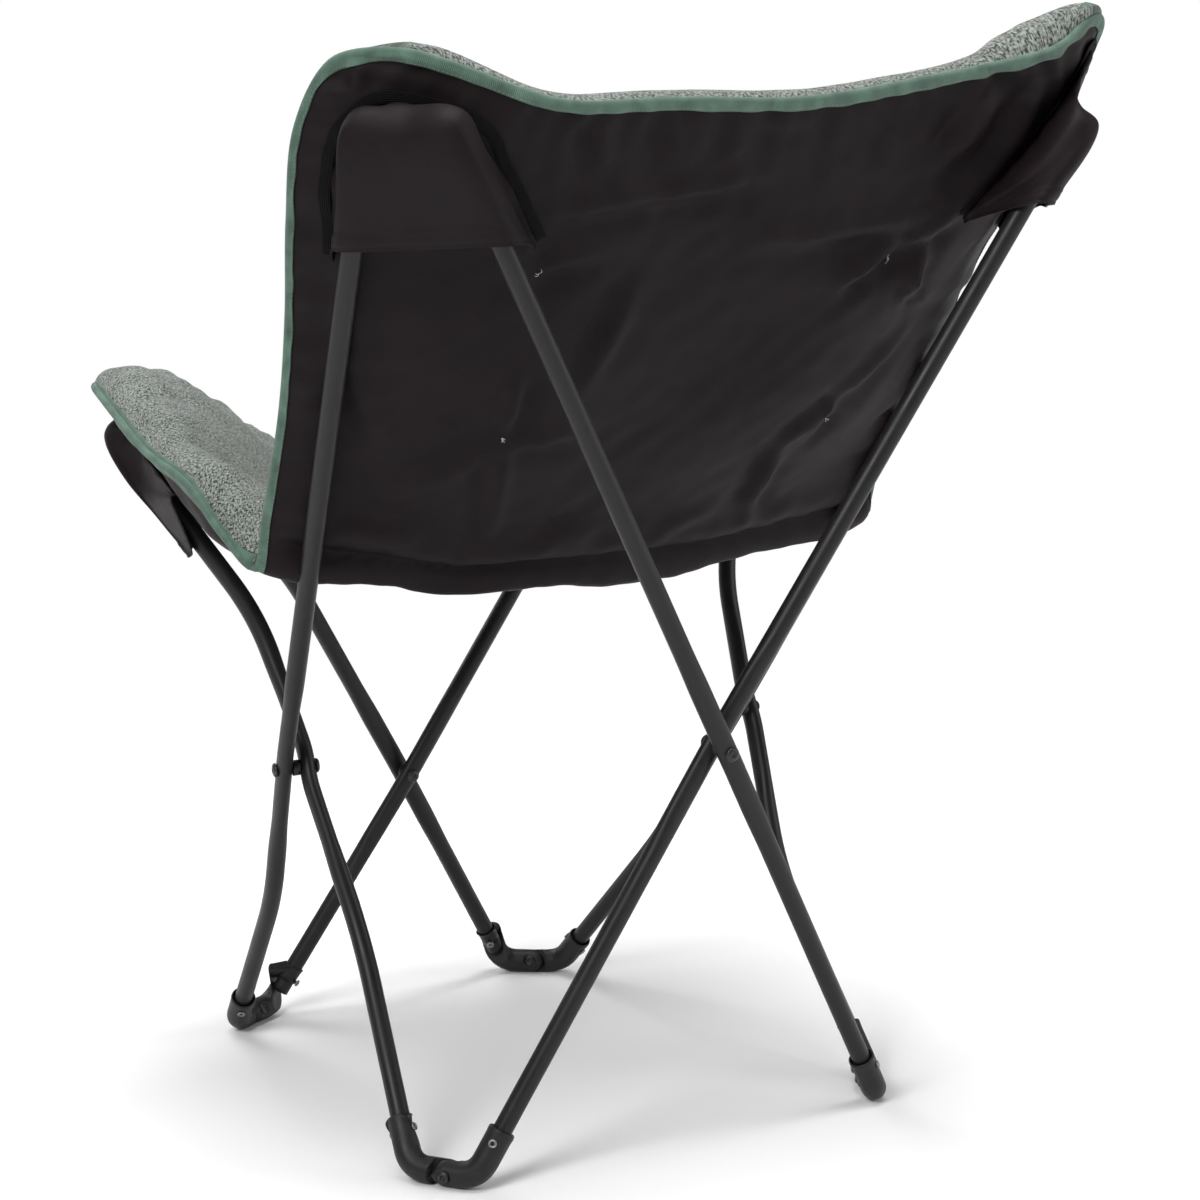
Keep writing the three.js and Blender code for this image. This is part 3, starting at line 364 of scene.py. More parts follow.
class Finish:
    """A node material: its methods add linked nodes, and return the new output or feed the shader."""

    def __init__(self, name, place="Object"):
        self.made = bpy.data.materials.new(name)
        self.made.use_nodes = True
        self.nodes, self.links = self.made.node_tree.nodes, self.made.node_tree.links
        self.shader = self.nodes["Principled BSDF"]
        self.place = self.add("ShaderNodeTexCoord").outputs[place]

    def put(self, node, key, value):
        """Links an output to a socket, or sets a constant on it."""
        if isinstance(value, bpy.types.NodeSocket):
            self.links.new(value, node.inputs[key])
        else:
            node.inputs[key].default_value = value

    def add(self, kind, inputs=(), **values):
        node = self.nodes.new(kind)
        for key, value in values.items():
            setattr(node, key, value)
        for key, value in dict(inputs).items():
            self.put(node, key, value)
        return node

    def feed(self, **inputs):
        """Sets the shader's sockets, named with underscores for spaces."""
        for key, value in inputs.items():
            self.put(self.shader, key.replace("_", " "), value)

    def maths(self, operation, a, b=0.0):
        return self.add("ShaderNodeMath", {0: a, 1: b}, operation=operation).outputs[0]

    def plus(self, a, b, share=1.0):
        """a and a share of b."""
        return self.maths("ADD", a, self.maths("MULTIPLY", b, share))

    def split(self, vector=None):
        part = self.add("ShaderNodeSeparateXYZ", {"Vector": self.place if vector is None else vector})
        return part.outputs["X"], part.outputs["Y"]

    def noise(self, scale, detail, roughness=0.5, place=None):
        inputs = {"Vector": self.place if place is None else place, "Scale": scale, "Detail": detail,
                  "Roughness": roughness}
        return self.add("ShaderNodeTexNoise", inputs).outputs["Fac"]

    def ripple(self, value, pitch):
        """Sine wave along a value, its length in metres."""
        return self.maths("SINE", self.maths("MULTIPLY", value, 2 * math.pi / pitch))

    def weave(self, threads, wobble):
        """Plain weave: the product of two thread waves, threads per metre, bent a little by noise."""
        noise = self.noise(60.0, 2.0)
        shift = self.add("ShaderNodeCombineXYZ", {"X": self.maths("MULTIPLY", noise, wobble),
                                                  "Y": self.maths("MULTIPLY", noise, -wobble)}).outputs[0]
        bent = self.add("ShaderNodeVectorMath", {0: self.place, 1: shift}, operation="ADD").outputs[0]
        return self.maths("MULTIPLY", *(self.ripple(value, 1 / threads) for value in self.split(bent)))

    def shade(self, value, low, high, start, end):
        """Base colour that goes from low to high as the value goes from start to end."""
        node = self.add("ShaderNodeValToRGB", {"Fac": value})
        for stop, at, rgb in zip(node.color_ramp.elements, (start, end), (low, high)):
            stop.position, stop.color = at, (*rgb, 1)
        self.feed(Base_Color=node.outputs["Color"])

    def roughen(self, value, low, high, start=0.0, end=1.0):
        """Roughness that goes from low to high as the value goes from start to end."""
        inputs = {"Value": value, "From Min": start, "From Max": end, "To Min": low, "To Max": high}
        self.feed(Roughness=self.add("ShaderNodeMapRange", inputs).outputs["Result"])

    def emboss(self, height, strength, distance):
        node = self.add("ShaderNodeBump", {"Height": height, "Strength": strength, "Distance": distance})
        self.feed(Normal=node.outputs["Normal"])


def scaled(rgb, factor):
    return tuple(min(1.0, c * factor) for c in rgb)


def coat_of_tubes():
    """Satin stove enamel: faint orange peel, soft wear marks and a few paler rub spots."""
    coat, base = Finish("tube_coat"), tuple(colours().steel)
    rub = coat.noise(38.0, 5.0, 0.62)
    coat.shade(rub, scaled(base, 0.86), scaled(base, 1.3), 0.35, 0.75)
    coat.roughen(rub, 0.36, 0.5, 0.3, 0.75)
    coat.emboss(coat.noise(900.0, 2.0), 0.12, 0.0004)
    coat.feed(Specular_IOR_Level=0.3)
    return coat.made


def plastic_of_knuckles():
    """Moulded black plastic: fine spark texture, scuffed a little where it is handled."""
    plastic, base = Finish("knuckle_plastic"), tuple(colours().plastic)
    scuff = plastic.noise(95.0, 6.0, 0.7)
    plastic.shade(scuff, base, scaled(base, 2.2), 0.5, 0.85)
    plastic.roughen(scuff, 0.4, 0.58, 0.35, 0.7)
    plastic.emboss(plastic.noise(1500.0, 3.0), 0.18, 0.0004)
    plastic.feed(Specular_IOR_Level=0.34)
    return plastic.made


def steel_of_rivets():
    """Bare rivet steel with dull patches."""
    steel, base = Finish("rivet_steel"), tuple(colours().rivet)
    dull = steel.noise(420.0, 4.0)
    steel.shade(dull, scaled(base, 0.55), base, 0.35, 0.65)
    steel.roughen(dull, 0.5, 0.28)
    steel.feed(Metallic=1.0)
    return steel.made


def coat_of_bolts():
    """Blackened steel of the pivot bolts."""
    coat, base = Finish("bolt_black"), tuple(colours().bolt)
    worn = coat.noise(260.0, 4.0)
    coat.shade(worn, base, scaled(base, 2.4), 0.45, 0.8)
    coat.roughen(worn, 0.32, 0.5)
    coat.feed(Metallic=0.6)
    return coat.made


def melange_cloth():
    """Melange weave: pale and dark green threads run both ways, mixed thread by thread, with a soft nap."""
    cloth = Finish("melange_cloth", "UV")
    runs = [cloth.add("ShaderNodeMapping", {"Vector": cloth.place, "Scale": scale}).outputs[0]
            for scale in ((330.0, 820.0, 1.0), (820.0, 330.0, 1.0))]
    weft, warp = (cloth.noise(1.0, 1.5, place=run) for run in runs)
    both = cloth.plus(cloth.maths("MULTIPLY", weft, 0.5), warp, 0.5)
    patch = cloth.maths("SUBTRACT", cloth.noise(55.0, 3.0), 0.5)
    dark, light = tuple(colours().melange_dark), tuple(colours().melange_light)
    cloth.shade(cloth.plus(both, patch, 0.12), dark, light, 0.4, 0.6)
    height = cloth.plus(cloth.maths("MULTIPLY", both, 0.8), cloth.weave(620.0, 0.0015), 0.5)
    cloth.emboss(height, 0.45, 0.0006)
    cloth.feed(Roughness=0.92, Sheen_Weight=0.12, Sheen_Roughness=0.5, Specular_IOR_Level=0.2)
    return cloth.made


def black_polyester(name, base):
    """Coated black polyester: a fine plain weave with a dry sheen, a little cloudy."""
    cloth = Finish(name, "UV")
    weave, cloud = cloth.weave(900.0, 0.0012), cloth.noise(22.0, 6.0, 0.6)
    cloth.shade(cloth.plus(cloud, weave, 0.09), scaled(base, 0.8), scaled(base, 1.4), 0.3, 0.78)
    cloth.roughen(cloud, 0.46, 0.62)
    cloth.emboss(weave, 0.22, 0.0004)
    cloth.feed(Specular_IOR_Level=0.11)
    return cloth.made


def herringbone_tape():
    """Twill tape: diagonal ribs that turn back and forth across the tape, with paler worn crests."""
    tape, base = Finish("binding_tape", "UV"), tuple(colours().tape)
    across, along = tape.split()
    rib = tape.ripple(tape.plus(along, tape.maths("PINGPONG", across, 0.0028), 0.9), 0.0017)
    height = tape.plus(rib, tape.ripple(across, 0.0006), 0.3)
    tape.shade(tape.plus(tape.noise(70.0, 4.0), height, 0.16), scaled(base, 0.62), scaled(base, 1.45), 0.25, 0.8)
    tape.emboss(height, 0.4, 0.0005)
    tape.feed(Roughness=0.86, Specular_IOR_Level=0.2, Sheen_Weight=0.15)
    return tape.made


def ribbed_webbing():
    """Black webbing: ribs along its length, crossed by close picks."""
    web, base = Finish("webbing", "UV"), tuple(colours().webbing)
    across, along = web.split()
    rib, pick = web.ripple(across, 0.0016), web.ripple(along, 0.0011)
    height = web.plus(rib, web.maths("MULTIPLY", rib, pick), 0.6)
    tone = web.maths("ADD", web.maths("MULTIPLY", height, 0.2), 0.5)
    web.shade(tone, scaled(base, 0.7), scaled(base, 1.8), 0.2, 0.8)
    web.emboss(height, 0.5, 0.0006)
    web.feed(Roughness=0.72, Specular_IOR_Level=0.1)
    return web.made


def sewing_thread(name, base):
    """Twisted sewing thread."""
    thread = Finish(name)
    thread.shade(thread.noise(2200.0, 1.0), scaled(base, 0.6), base, 0.3, 0.7)
    thread.feed(Roughness=0.8)
    return thread.made


# The sling's face

# Rows run from the top edge of the back, down to the fold and forward to the front edge. Each holds the centre
# line's (y, z), the side edge's (x, y, z) and how late along the width the cloth turns in y and in z.
SLING_ROWS = np.array([
    [303, 845, 322, 266, 886, 7, 2.2], [299, 833, 340, 232, 869, 7, 2.5], [291, 817, 350, 207, 829, 6.6, 3],
    [259, 753, 340, 173, 762, 5.4, 2.5], [216, 667, 323, 135, 690, 4.6, 2], [172, 588, 312, 100, 615, 4, 2],
    [114, 517, 303, 52, 531, 3, 2], [85, 482, 304, 33, 485, 2, 2], [46, 457, 321, 10, 510, 2, 2.4],
    [-22, 439, 336, -26, 548, 2, 2.6], [-102, 438, 346, -78, 568, 2, 2.4], [-190, 450, 345, -143, 594, 2, 1.6],
    [-279, 473, 337, -217, 618, 2, 1.1]], float)
LAST_ROW = len(SLING_ROWS) - 1.0
TUFTS = ((0.5, 3.4), (0.5, 5.04), (0.4, 9.0), (0.4, 10.7))
# Rows and shares of the width over which the corners at the top and at the front are rounded
ROUND_TOP, ROUND_FRONT = (0.8, 0.1), (0.35, 0.085)
ROW_STEP = 45.0
# Folds of the black cloth: width and row of both ends, height in mm and half width in mm
FOLDS = (
    (0.51, 3.38, 0.36, 3.2, 3.0, 7), (0.23, 3.44, 0.33, 4.5, 2.6, 9), (0.51, 2.82, 0.25, 2.68, 2.4, 8),
    (0.25, 2.68, -0.05, 2.4, 1.8, 9), (0.49, 5.04, 0.5, 4.4, 3.0, 7), (0.49, 5.06, 0.72, 5.66, 2.6, 9),
    (0.49, 5.08, 0.43, 6.3, 2.8, 9), (0.49, 5.1, 0.27, 4.96, 2.6, 8), (0.99, 4.8, 0.9, 4.66, 2.4, 6),
    (0.89, 3.4, 0.88, 4.5, 3.0, 13), (0.88, 4.5, 0.78, 5.2, 2.2, 11), (0.47, 0.5, 0.39, 2.3, 3.2, 9),
    (0.28, 0.4, 0.22, 2.2, 3.0, 8), (0.1, 0.4, 0.07, 2.2, 2.8, 8), (0.02, 1.0, -0.14, 0.9, 1.8, 8),
    (-0.34, 3.55, -0.5, 3.1, 2.6, 9), (-0.42, 6.6, -0.4, 5.4, 2.4, 9), (-0.52, 4.9, -0.38, 5.3, 2.6, 7),
    (-0.38, 5.3, -0.39, 6.1, 2.0, 8), (0.98, 0.5, 0.94, 1.3, 3.0, 7), (-0.52, 3.4, -0.7, 3.9, 2.6, 8),
    (-0.3, 0.4, -0.36, 2.0, 2.6, 9), (-0.6, 0.5, -0.56, 2.2, 3.0, 9), (-0.8, 0.9, -0.62, 2.9, 4.0, 12),
    (-0.7, 1.0, -0.5, 2.4, 3.0, 10), (0.62, 6.2, 0.85, 6.1, 2.4, 10), (0.1, 6.2, 0.3, 6.5, 2.2, 11),
    (0.48, 2.72, 0.0, 2.48, 2.0, 8), (-0.05, 3.12, -0.62, 2.92, 3.0, 10), (-0.35, 3.54, -0.64, 2.95, 3.4, 9),
    (-0.6, 3.9, -0.59, 3.1, 2.4, 8), (-0.51, 4.83, -0.7, 4.2, 2.6, 9), (-0.47, 5.3, -0.52, 4.9, 2.0, 7),
    (-0.1, 6.4, -0.3, 6.1, 2.0, 10), (-0.75, 5.2, -0.9, 4.9, 2.4, 9), (0.7, 7.6, 0.2, 7.7, 3.0, 10),
    (0.1, 7.8, -0.35, 7.7, 2.6, 9), (0.2, 8.6, 0.5, 9.2, 2.4, 14), (-0.2, 8.6, -0.5, 9.2, 2.4, 14))
# Hang of the top edge in mm: its rise, the right half's, the dip beside the left corner, and the right corner's peak
TOP_RISE, RIGHT_RISE, LEFT_DIP, RIGHT_PEAK = 3.5, 12, 13, 22
# How far the right corner is drawn out and back in mm, and the rows over which both fade
RIGHT_OUT, RIGHT_BACK, OUT_FADE, TOP_FADE = 30, 19, (0.9, 2.4), 2.6
# The black cloth in mm: folds' scale, seam groove, swellings above and below the seam, sag under the arms, pleats
FOLD_SCALE, SEAM_DEPTH, SWELL_ABOVE, SWELL_BELOW, ARM_SAG, BACK_PLEAT = 2.1, 9.0, 6.0, 14.0, 22, 4.4
# The pad in mm: extra filling at the corner and the arms, roll over the top, the corner, the front and the arms
CORNER_FILL, ARM_FILL, TOP_ROLL, CORNER_ROLL, FRONT_ROLL, ARM_ROLL = 12, 20, 17, 22, 12, 9
PAD_PLEAT, PAD_LUMPS = 4.5, 2.8


def catmull(points, v):
    """Centripetal Catmull-Rom line through the points at whole numbers of v."""
    padded = np.concatenate([2 * points[:1] - points[1:2], points, 2 * points[-1:] - points[-2:-1]])
    v = np.clip(np.asarray(v, float), 0, len(points) - 1)
    i = np.minimum(v.astype(int), len(points) - 2)
    t = (v - i)[..., None]
    p0, p1, p2, p3 = (padded[i + k] for k in range(4))
    d0, d1, d2 = (np.sqrt(np.linalg.norm(b - a, axis=-1, keepdims=True)) for a, b in ((p0, p1), (p1, p2), (p2, p3)))
    m1 = d1 * ((p1 - p0) / d0 - (p2 - p0) / (d0 + d1) + (p2 - p1) / d1)
    m2 = d1 * ((p2 - p1) / d1 - (p3 - p1) / (d1 + d2) + (p3 - p2) / d2)
    return (p1 + m1 * t + (-3 * p1 + 3 * p2 - 2 * m1 - m2) * t ** 2 + (2 * p1 - 2 * p2 + m1 + m2) * t ** 3)


def top_shift(u):
    """Uneven hang of the top edge: it sags beside the left corner and is drawn up and out over the right one."""
    right = np.where(u < 0, 1.0, 0.0)
    corner = right * np.abs(u) ** 6
    lift = TOP_RISE + RIGHT_RISE * right * (1 - bell(u, 0, 0.35)) - LEFT_DIP * bell(u, 0.58, 0.22)
    return np.stack([-RIGHT_OUT * corner, RIGHT_BACK * corner, lift + RIGHT_PEAK * bell(u, -0.97, 0.08)], -1)


def sling_face(u, v):
    """The sling's outer face: x grows evenly with width u; y and z leave the centre line by a power of u."""
    u, v = np.broadcast_arrays(np.asarray(u, float), np.asarray(v, float))
    centre = catmull(SLING_ROWS[:, :2], v)
    edge = catmull(SLING_ROWS[:, 2:5], v)
    turn_y, turn_z = (np.interp(v, np.arange(len(SLING_ROWS)), SLING_ROWS[:, k]) for k in (5, 6))
    w = np.abs(u)
    y = centre[..., 0] + (edge[..., 1] - centre[..., 0]) * w ** turn_y
    z = centre[..., 1] + (edge[..., 2] - centre[..., 1]) * w ** turn_z
    place = np.stack([edge[..., 0] * u, y, z], -1)
    rows = np.stack([(v - OUT_FADE[0]) / OUT_FADE[1], v / TOP_FADE, v / TOP_FADE], -1)
    return place + top_shift(u) * (1 - smooth_step(rows))


def sling_slopes(u, v):
    """Change of the face per unit of width and per row, from differences either side."""
    u, v = np.broadcast_arrays(np.asarray(u, float), np.asarray(v, float))
    u0, u1 = np.maximum(-1, u - 0.02), np.minimum(1, u + 0.02)
    v0, v1 = np.maximum(0, v - 0.1), np.minimum(LAST_ROW, v + 0.1)
    across = (sling_face(u1, v) - sling_face(u0, v)) / (u1 - u0)[..., None]
    down = (sling_face(u, v1) - sling_face(u, v0)) / (v1 - v0)[..., None]
    return across, down


def sling_normal(u, v):
    """Unit normal of the face on the sitter's side."""
    across, down = sling_slopes(u, v)
    return unit(np.cross(down, across))


def edge_share(v):
    """Share of the half width at a row: one, drawn in along quarter ellipses at the top and front corners."""
    top = np.clip(1 - v / ROUND_TOP[0], 0, 1)
    front = np.clip(1 - (LAST_ROW - v) / ROUND_FRONT[0], 0, 1)
    return 1 - ROUND_TOP[1] * (1 - np.sqrt(1 - top ** 2)) - ROUND_FRONT[1] * (1 - np.sqrt(1 - front ** 2))


def sling_grid(cols, rows):
    """Width and row of each grid point, closer together towards the edges."""
    a = np.sin(np.linspace(-1, 1, cols + 1) * 1.25) / math.sin(1.25)
    v = (np.sin(np.linspace(-1, 1, rows + 1) * 1.35) / math.sin(1.35) + 1) / 2 * LAST_ROW
    a, v = np.meshgrid(a, v)
    return a * edge_share(v), v


def waves(points, seed, count, shortest, longest):
    """Smooth unevenness: a sum of sine waves in set random directions, about 1 at most, lengths in mm."""
    rng = np.random.default_rng(seed)
    direction = unit(rng.normal(size=(count, 3)))
    length = np.exp(rng.uniform(math.log(shortest), math.log(longest), count))
    phase = rng.uniform(0, 2 * math.pi, count)
    return np.sin(points @ (direction / length[:, None] * 2 * math.pi).T + phase).sum(-1) / math.sqrt(count) / 1.4


def side_of(u):
    return np.where(np.asarray(u) < 0, -1.0, 1.0)


def edge_distance(u, v):
    """Distance in mm to the side edge, the top edge and the front edge, measured along the face."""
    face = sling_face(u, v)
    side = np.linalg.norm(face - sling_face(side_of(u) * edge_share(v), v), axis=-1)
    top = np.linalg.norm(face - sling_face(u, 0 * v), axis=-1)
    front = np.linalg.norm(face - sling_face(u, 0 * v + LAST_ROW), axis=-1)
    return side, top, front


def gathers(u, v, seed, length):
    """Little pleats that run in from the edges, drawn up by the binding's stitches, fading with distance."""
    edges = edge_distance(u, v)
    lines = (sling_face(side_of(u), v), sling_face(u, 0 * v), sling_face(u, 0 * v + LAST_ROW))
    pleats = sum(waves(line, seed + k, count=9, shortest=20, longest=70) * fade(away, length)
                 for k, (line, away) in enumerate(zip(lines, edges)))
    return pleats * rise(np.minimum.reduce(edges), 7.0)


def tuft_pull(u, v, depth, spread, crease):
    """Dimples at the tuft stitches with short creases that radiate from them."""
    face = sling_face(u, v)
    pull = np.zeros(face.shape[:-1])
    for side in (-1, 1):
        for k, (tu, tv) in enumerate(TUFTS):
            step = face - sling_face(side * tu, tv)
            away = np.linalg.norm(step, axis=-1)
            turn = np.arctan2(step[..., 2], step[..., 0])
            rays = np.cos((4 + k % 2) * turn + k * 1.7 + side) * rise(away, 12)
            pull += depth * np.exp(-(away / spread) ** 1.5) + crease * rays * fade(away, spread * 1.2)
    return pull


def corner_puff(u, v):
    """One at the plump right corner of the back, falling off over a hand's breadth, and slight at the left one."""
    return np.where(u < 0, 1.0, 0.2) * bell(np.abs(u), 0.82, 0.15) * bell(v, 0.5, 0.9)


def arm_puff(u, v):
    """One along the plump outer ends of the arms."""
    return bell(np.abs(u), 0.8, 0.2) * bell(v, 11.1, 1.3)


def pad_lift(u, v):
    """Height of the sitting face above the outer face: a crown that drops to the edges, tufts, lumps and pleats."""
    s = sling_sizes()
    side, top, front = edge_distance(u, v)
    arms = smooth_step((v - 7.6) / 1.4)
    crown = rise(side, 20.0 - 12.0 * arms) * rise(top, 7.0) * rise(front, 8.0)
    pleat = gathers(u, v, seed=11, length=60.0) * (1 + 0.6 * smooth_step((v - 8) / 2))
    soft = waves(sling_face(u, v), seed=5, count=14, shortest=90, longest=260)
    plump = CORNER_FILL * corner_puff(u, v) + ARM_FILL * arm_puff(u, v)
    lift = s.cover_thick + s.pad_edge + (s.pad_full - s.pad_edge + plump) * crown
    lift = lift - tuft_pull(u, v, s.tuft_depth, spread=36.0, crease=2.6) * crown
    return np.maximum(s.cover_thick + s.pad_edge * 0.9, lift + (PAD_PLEAT * pleat + PAD_LUMPS * soft) * crown)


def pad_roll(u, v):
    """Step of the sitting face out over the top, the front and the arms' sides, where the stuffing bulges past the
    tape."""
    side, top, front = (fade(away, length) * rise(away, 4)
                        for away, length in zip(edge_distance(u, v), (14, 16, 16)))
    across, down = (unit(slope) for slope in sling_slopes(u, v))
    over_ends = FRONT_ROLL * front - (TOP_ROLL + CORNER_ROLL * corner_puff(u, v)) * top
    over_side = ARM_ROLL * smooth_step((v - 8) / 2) * side * side_of(u)
    return down * over_ends[..., None] + across * over_side[..., None]


def fold_relief(u, v):
    """Soft folds of the black cloth: a ridge along each line with a hollow on one side, tapering at its ends."""
    face = sling_face(u, v)
    normal = sling_normal(u, v)
    relief = np.zeros(face.shape[:-1])
    for u0, v0, u1, v1, height, width in FOLDS:
        start, end = sling_face(u0, v0), sling_face(u1, v1)
        run = end - start
        t = np.clip((face - start) @ run / (run @ run), 0, 1)
        off = face - start - t[..., None] * run
        away = np.linalg.norm(off, axis=-1) * np.sign((np.cross(normal, run) * off).sum(-1) + 1e-9)
        shape = bell(away, 0, width) - 0.7 * bell(away, 1.7 * width, 1.2 * width)
        relief += height * shape * (1 - np.abs(2 * t - 1) ** 3 * 0.85)
    return relief


def seam_row(u):
    """Row of the seam between the back and the seat: an arc, sagging a little on the left."""
    return 7.1 - 0.76 * u ** 2 + 0.22 * bell(u, 0.47, 0.14)


def cover_lift(u, v):
    """Height of the black face above the drawn face, towards the sitter: bulges, folds and the deep seam."""
    inside = rise(np.minimum.reduce(edge_distance(u, v)), 24.0)
    face = sling_face(u, v)
    past = (v - seam_row(u)) * ROW_STEP
    seam = SEAM_DEPTH * bell(past, 0, 4.5) - SWELL_ABOVE * bell(past, -17, 12) - SWELL_BELOW * bell(past, 20, 15)
    soft = (4.0 * waves(face, seed=23, count=14, shortest=110, longest=320)
            + 0.7 * waves(face, seed=29, count=20, shortest=18, longest=45))
    sag = ARM_SAG * bell(np.abs(u), 0.86, 0.12) * bell(v, 9, 0.95)
    pull = tuft_pull(u, v, depth=5.0, spread=22.0, crease=2.2)
    relief = soft - FOLD_SCALE * fold_relief(u, v) + seam - sag + pull
    return BACK_PLEAT * gathers(u, v, seed=31, length=42.0) + relief * inside


# Operators

def sheet_mesh(front, back):
    """Faces of a closed sheet between two grids of the same size: both grids and the strip round their rim."""
    rows, cols = front.shape[:2]
    quads = grid_quads(rows, cols, False)
    n = rows * cols
    rim = np.concatenate([np.arange(cols - 1), np.arange(rows - 1) * cols + cols - 1,
                          (rows - 1) * cols + np.arange(cols - 1, 0, -1), np.arange(rows - 1, 0, -1) * cols])
    nxt = np.roll(rim, -1)
    strip = np.stack([rim, nxt, nxt + n, rim + n], -1)
    faces = np.concatenate([quads[:, ::-1], quads + n, strip])
    return np.concatenate([front.reshape(-1, 3), back.reshape(-1, 3)]), faces


def sheet_uv(faces, flat_u, flat_v):
    """UV of each face corner from flat positions of the points of both grids, in metres."""
    u = np.concatenate([flat_u.ravel(), flat_u.ravel()])
    v = np.concatenate([flat_v.ravel(), flat_v.ravel()])
    corners = np.asarray(faces).ravel()
    return np.stack([u[corners], v[corners]], -1)


def flat_places(grid):
    """A grid laid flat: metres across from the middle column and metres down the middle column."""
    down, across = (sums(np.linalg.norm(np.diff(grid, axis=k), axis=-1), k) * MM for k in (0, 1))
    middle = grid.shape[1] // 2
    return across - across[:, middle][:, None], down[:, middle][:, None] + 0 * down


# Stage in metres: half the floor's side, its drop, and where its glow starts and is full
FLOOR_HALF, FLOOR_DROP, FLOOR_GLOW = 30.0, 0.0006, (0.5, 2.2)
WORLD_LIGHT = 0.2
# Lamps: name, place, side and watts, then the place they face
LAMPS = (("key", vec(2.8, 1.5, 2.6), 1.4, 80), ("fill", vec(-2.8, 2.2, 1.6), 2.2, 42),
         ("front", vec(0.4, -3.2, 2.4), 2.4, 60), ("top", vec(0, 0.3, 3.6), 2.0, 115))
LAMP_AIM, NEARLY_UP = vec(0, 0, 0.45), vec(0.01, 0.02, 1)
# Camera: sensor in mm, focal length and picture width in pixels, drawn place, and its right, up and back axes
SENSOR, FOCAL_PIXELS, PICTURE_PIXELS, CLIP_END = 36.0, 2942.3, 1200, 100
CAMERA_PLACE = vec(1317.26, 2107.99, 844.21)
CAMERA_AXES = vec(-0.84065, 0.54158, 0), vec(-0.08931, -0.13863, 0.98631), vec(0.53416, 0.82914, 0.16491)


def stand(name, data, axes, place):
    """A lamp or camera in the scene, from its right, up and back axes and its place in metres."""
    turn = np.eye(4)
    turn[:3, :3] = np.stack([unit(axis) for axis in axes], 1)
    turn[:3, 3] = place
    thing = bpy.data.objects.new(name, data)
    thing.matrix_world = Matrix(turn.tolist())
    bpy.context.scene.collection.objects.link(thing)
    return thing


class CHAIR_OT_stage(bpy.types.Operator):
    """Floor, soft lamps, pale world and the camera at the photograph's angle"""
    bl_idname = "chair.stage"
    bl_label = "Stage"

    def execute(self, context):
        scene = context.scene
        scene.view_settings.view_transform = "Standard"
        white = (1, 1, 1, 1)
        floor = Finish("floor")
        floor.feed(Base_Color=(*colours().floor, 1), Roughness=0.9, Specular_IOR_Level=0.1)
        reach = floor.add("ShaderNodeVectorMath", {0: floor.place}, operation="LENGTH").outputs["Value"]
        inputs = {"Value": reach, "From Min": FLOOR_GLOW[0], "From Max": FLOOR_GLOW[1]}
        far = floor.add("ShaderNodeMapRange", inputs, interpolation_type="SMOOTHSTEP").outputs[0]
        glow = floor.add("ShaderNodeEmission", {"Color": white, "Strength": 1.0}).outputs[0]
        mix = floor.add("ShaderNodeMixShader", {0: far, 1: floor.shader.outputs[0], 2: glow})
        floor.put(floor.nodes["Material Output"], "Surface", mix.outputs[0])
        points = [[x * FLOOR_HALF, y * FLOOR_HALF, -FLOOR_DROP] for x, y in ((-1, -1), (1, -1), (1, 1), (-1, 1))]
        new_piece("floor", points, [(0, 1, 2, 3)], material=floor.made)

        world = bpy.data.worlds.new("studio")
        scene.world = world
        world.use_nodes = True
        nodes, links = world.node_tree.nodes, world.node_tree.links
        lit = nodes["Background"]
        seen, path, either, mixed = (nodes.new(f"ShaderNode{kind}")
                                     for kind in ("Background", "LightPath", "Math", "MixShader"))
        seen.inputs["Color"].default_value = lit.inputs["Color"].default_value = white
        lit.inputs["Strength"].default_value = WORLD_LIGHT
        either.operation = "MAXIMUM"
        for output, socket in ((path.outputs["Is Camera Ray"], either.inputs[0]),
                               (path.outputs["Is Transmission Ray"], either.inputs[1]),
                               (either.outputs[0], mixed.inputs[0]), (lit.outputs[0], mixed.inputs[1]),
                               (seen.outputs[0], mixed.inputs[2]),
                               (mixed.outputs[0], nodes["World Output"].inputs["Surface"])):
            links.new(output, socket)

        for name, place, side, watts in LAMPS:
            lamp = bpy.data.lights.new(name, "AREA")
            lamp.size, lamp.energy = side, watts
            look = unit(LAMP_AIM - place)
            right = unit(np.cross(look, NEARLY_UP))
            stand(name, lamp, (right, np.cross(right, look), -look), place)

        camera = bpy.data.cameras.new("camera")
        camera.sensor_width = SENSOR
        camera.lens = SENSOR * FOCAL_PIXELS / PICTURE_PIXELS
        camera.clip_end = CLIP_END
        scene.camera = stand("camera", camera, CAMERA_AXES, metres(CAMERA_PLACE))
        return {"FINISHED"}


# Lengths of a path between rings, in mm
TUBE_STEP, KNUCKLE_STEP = 5.0, 0.9


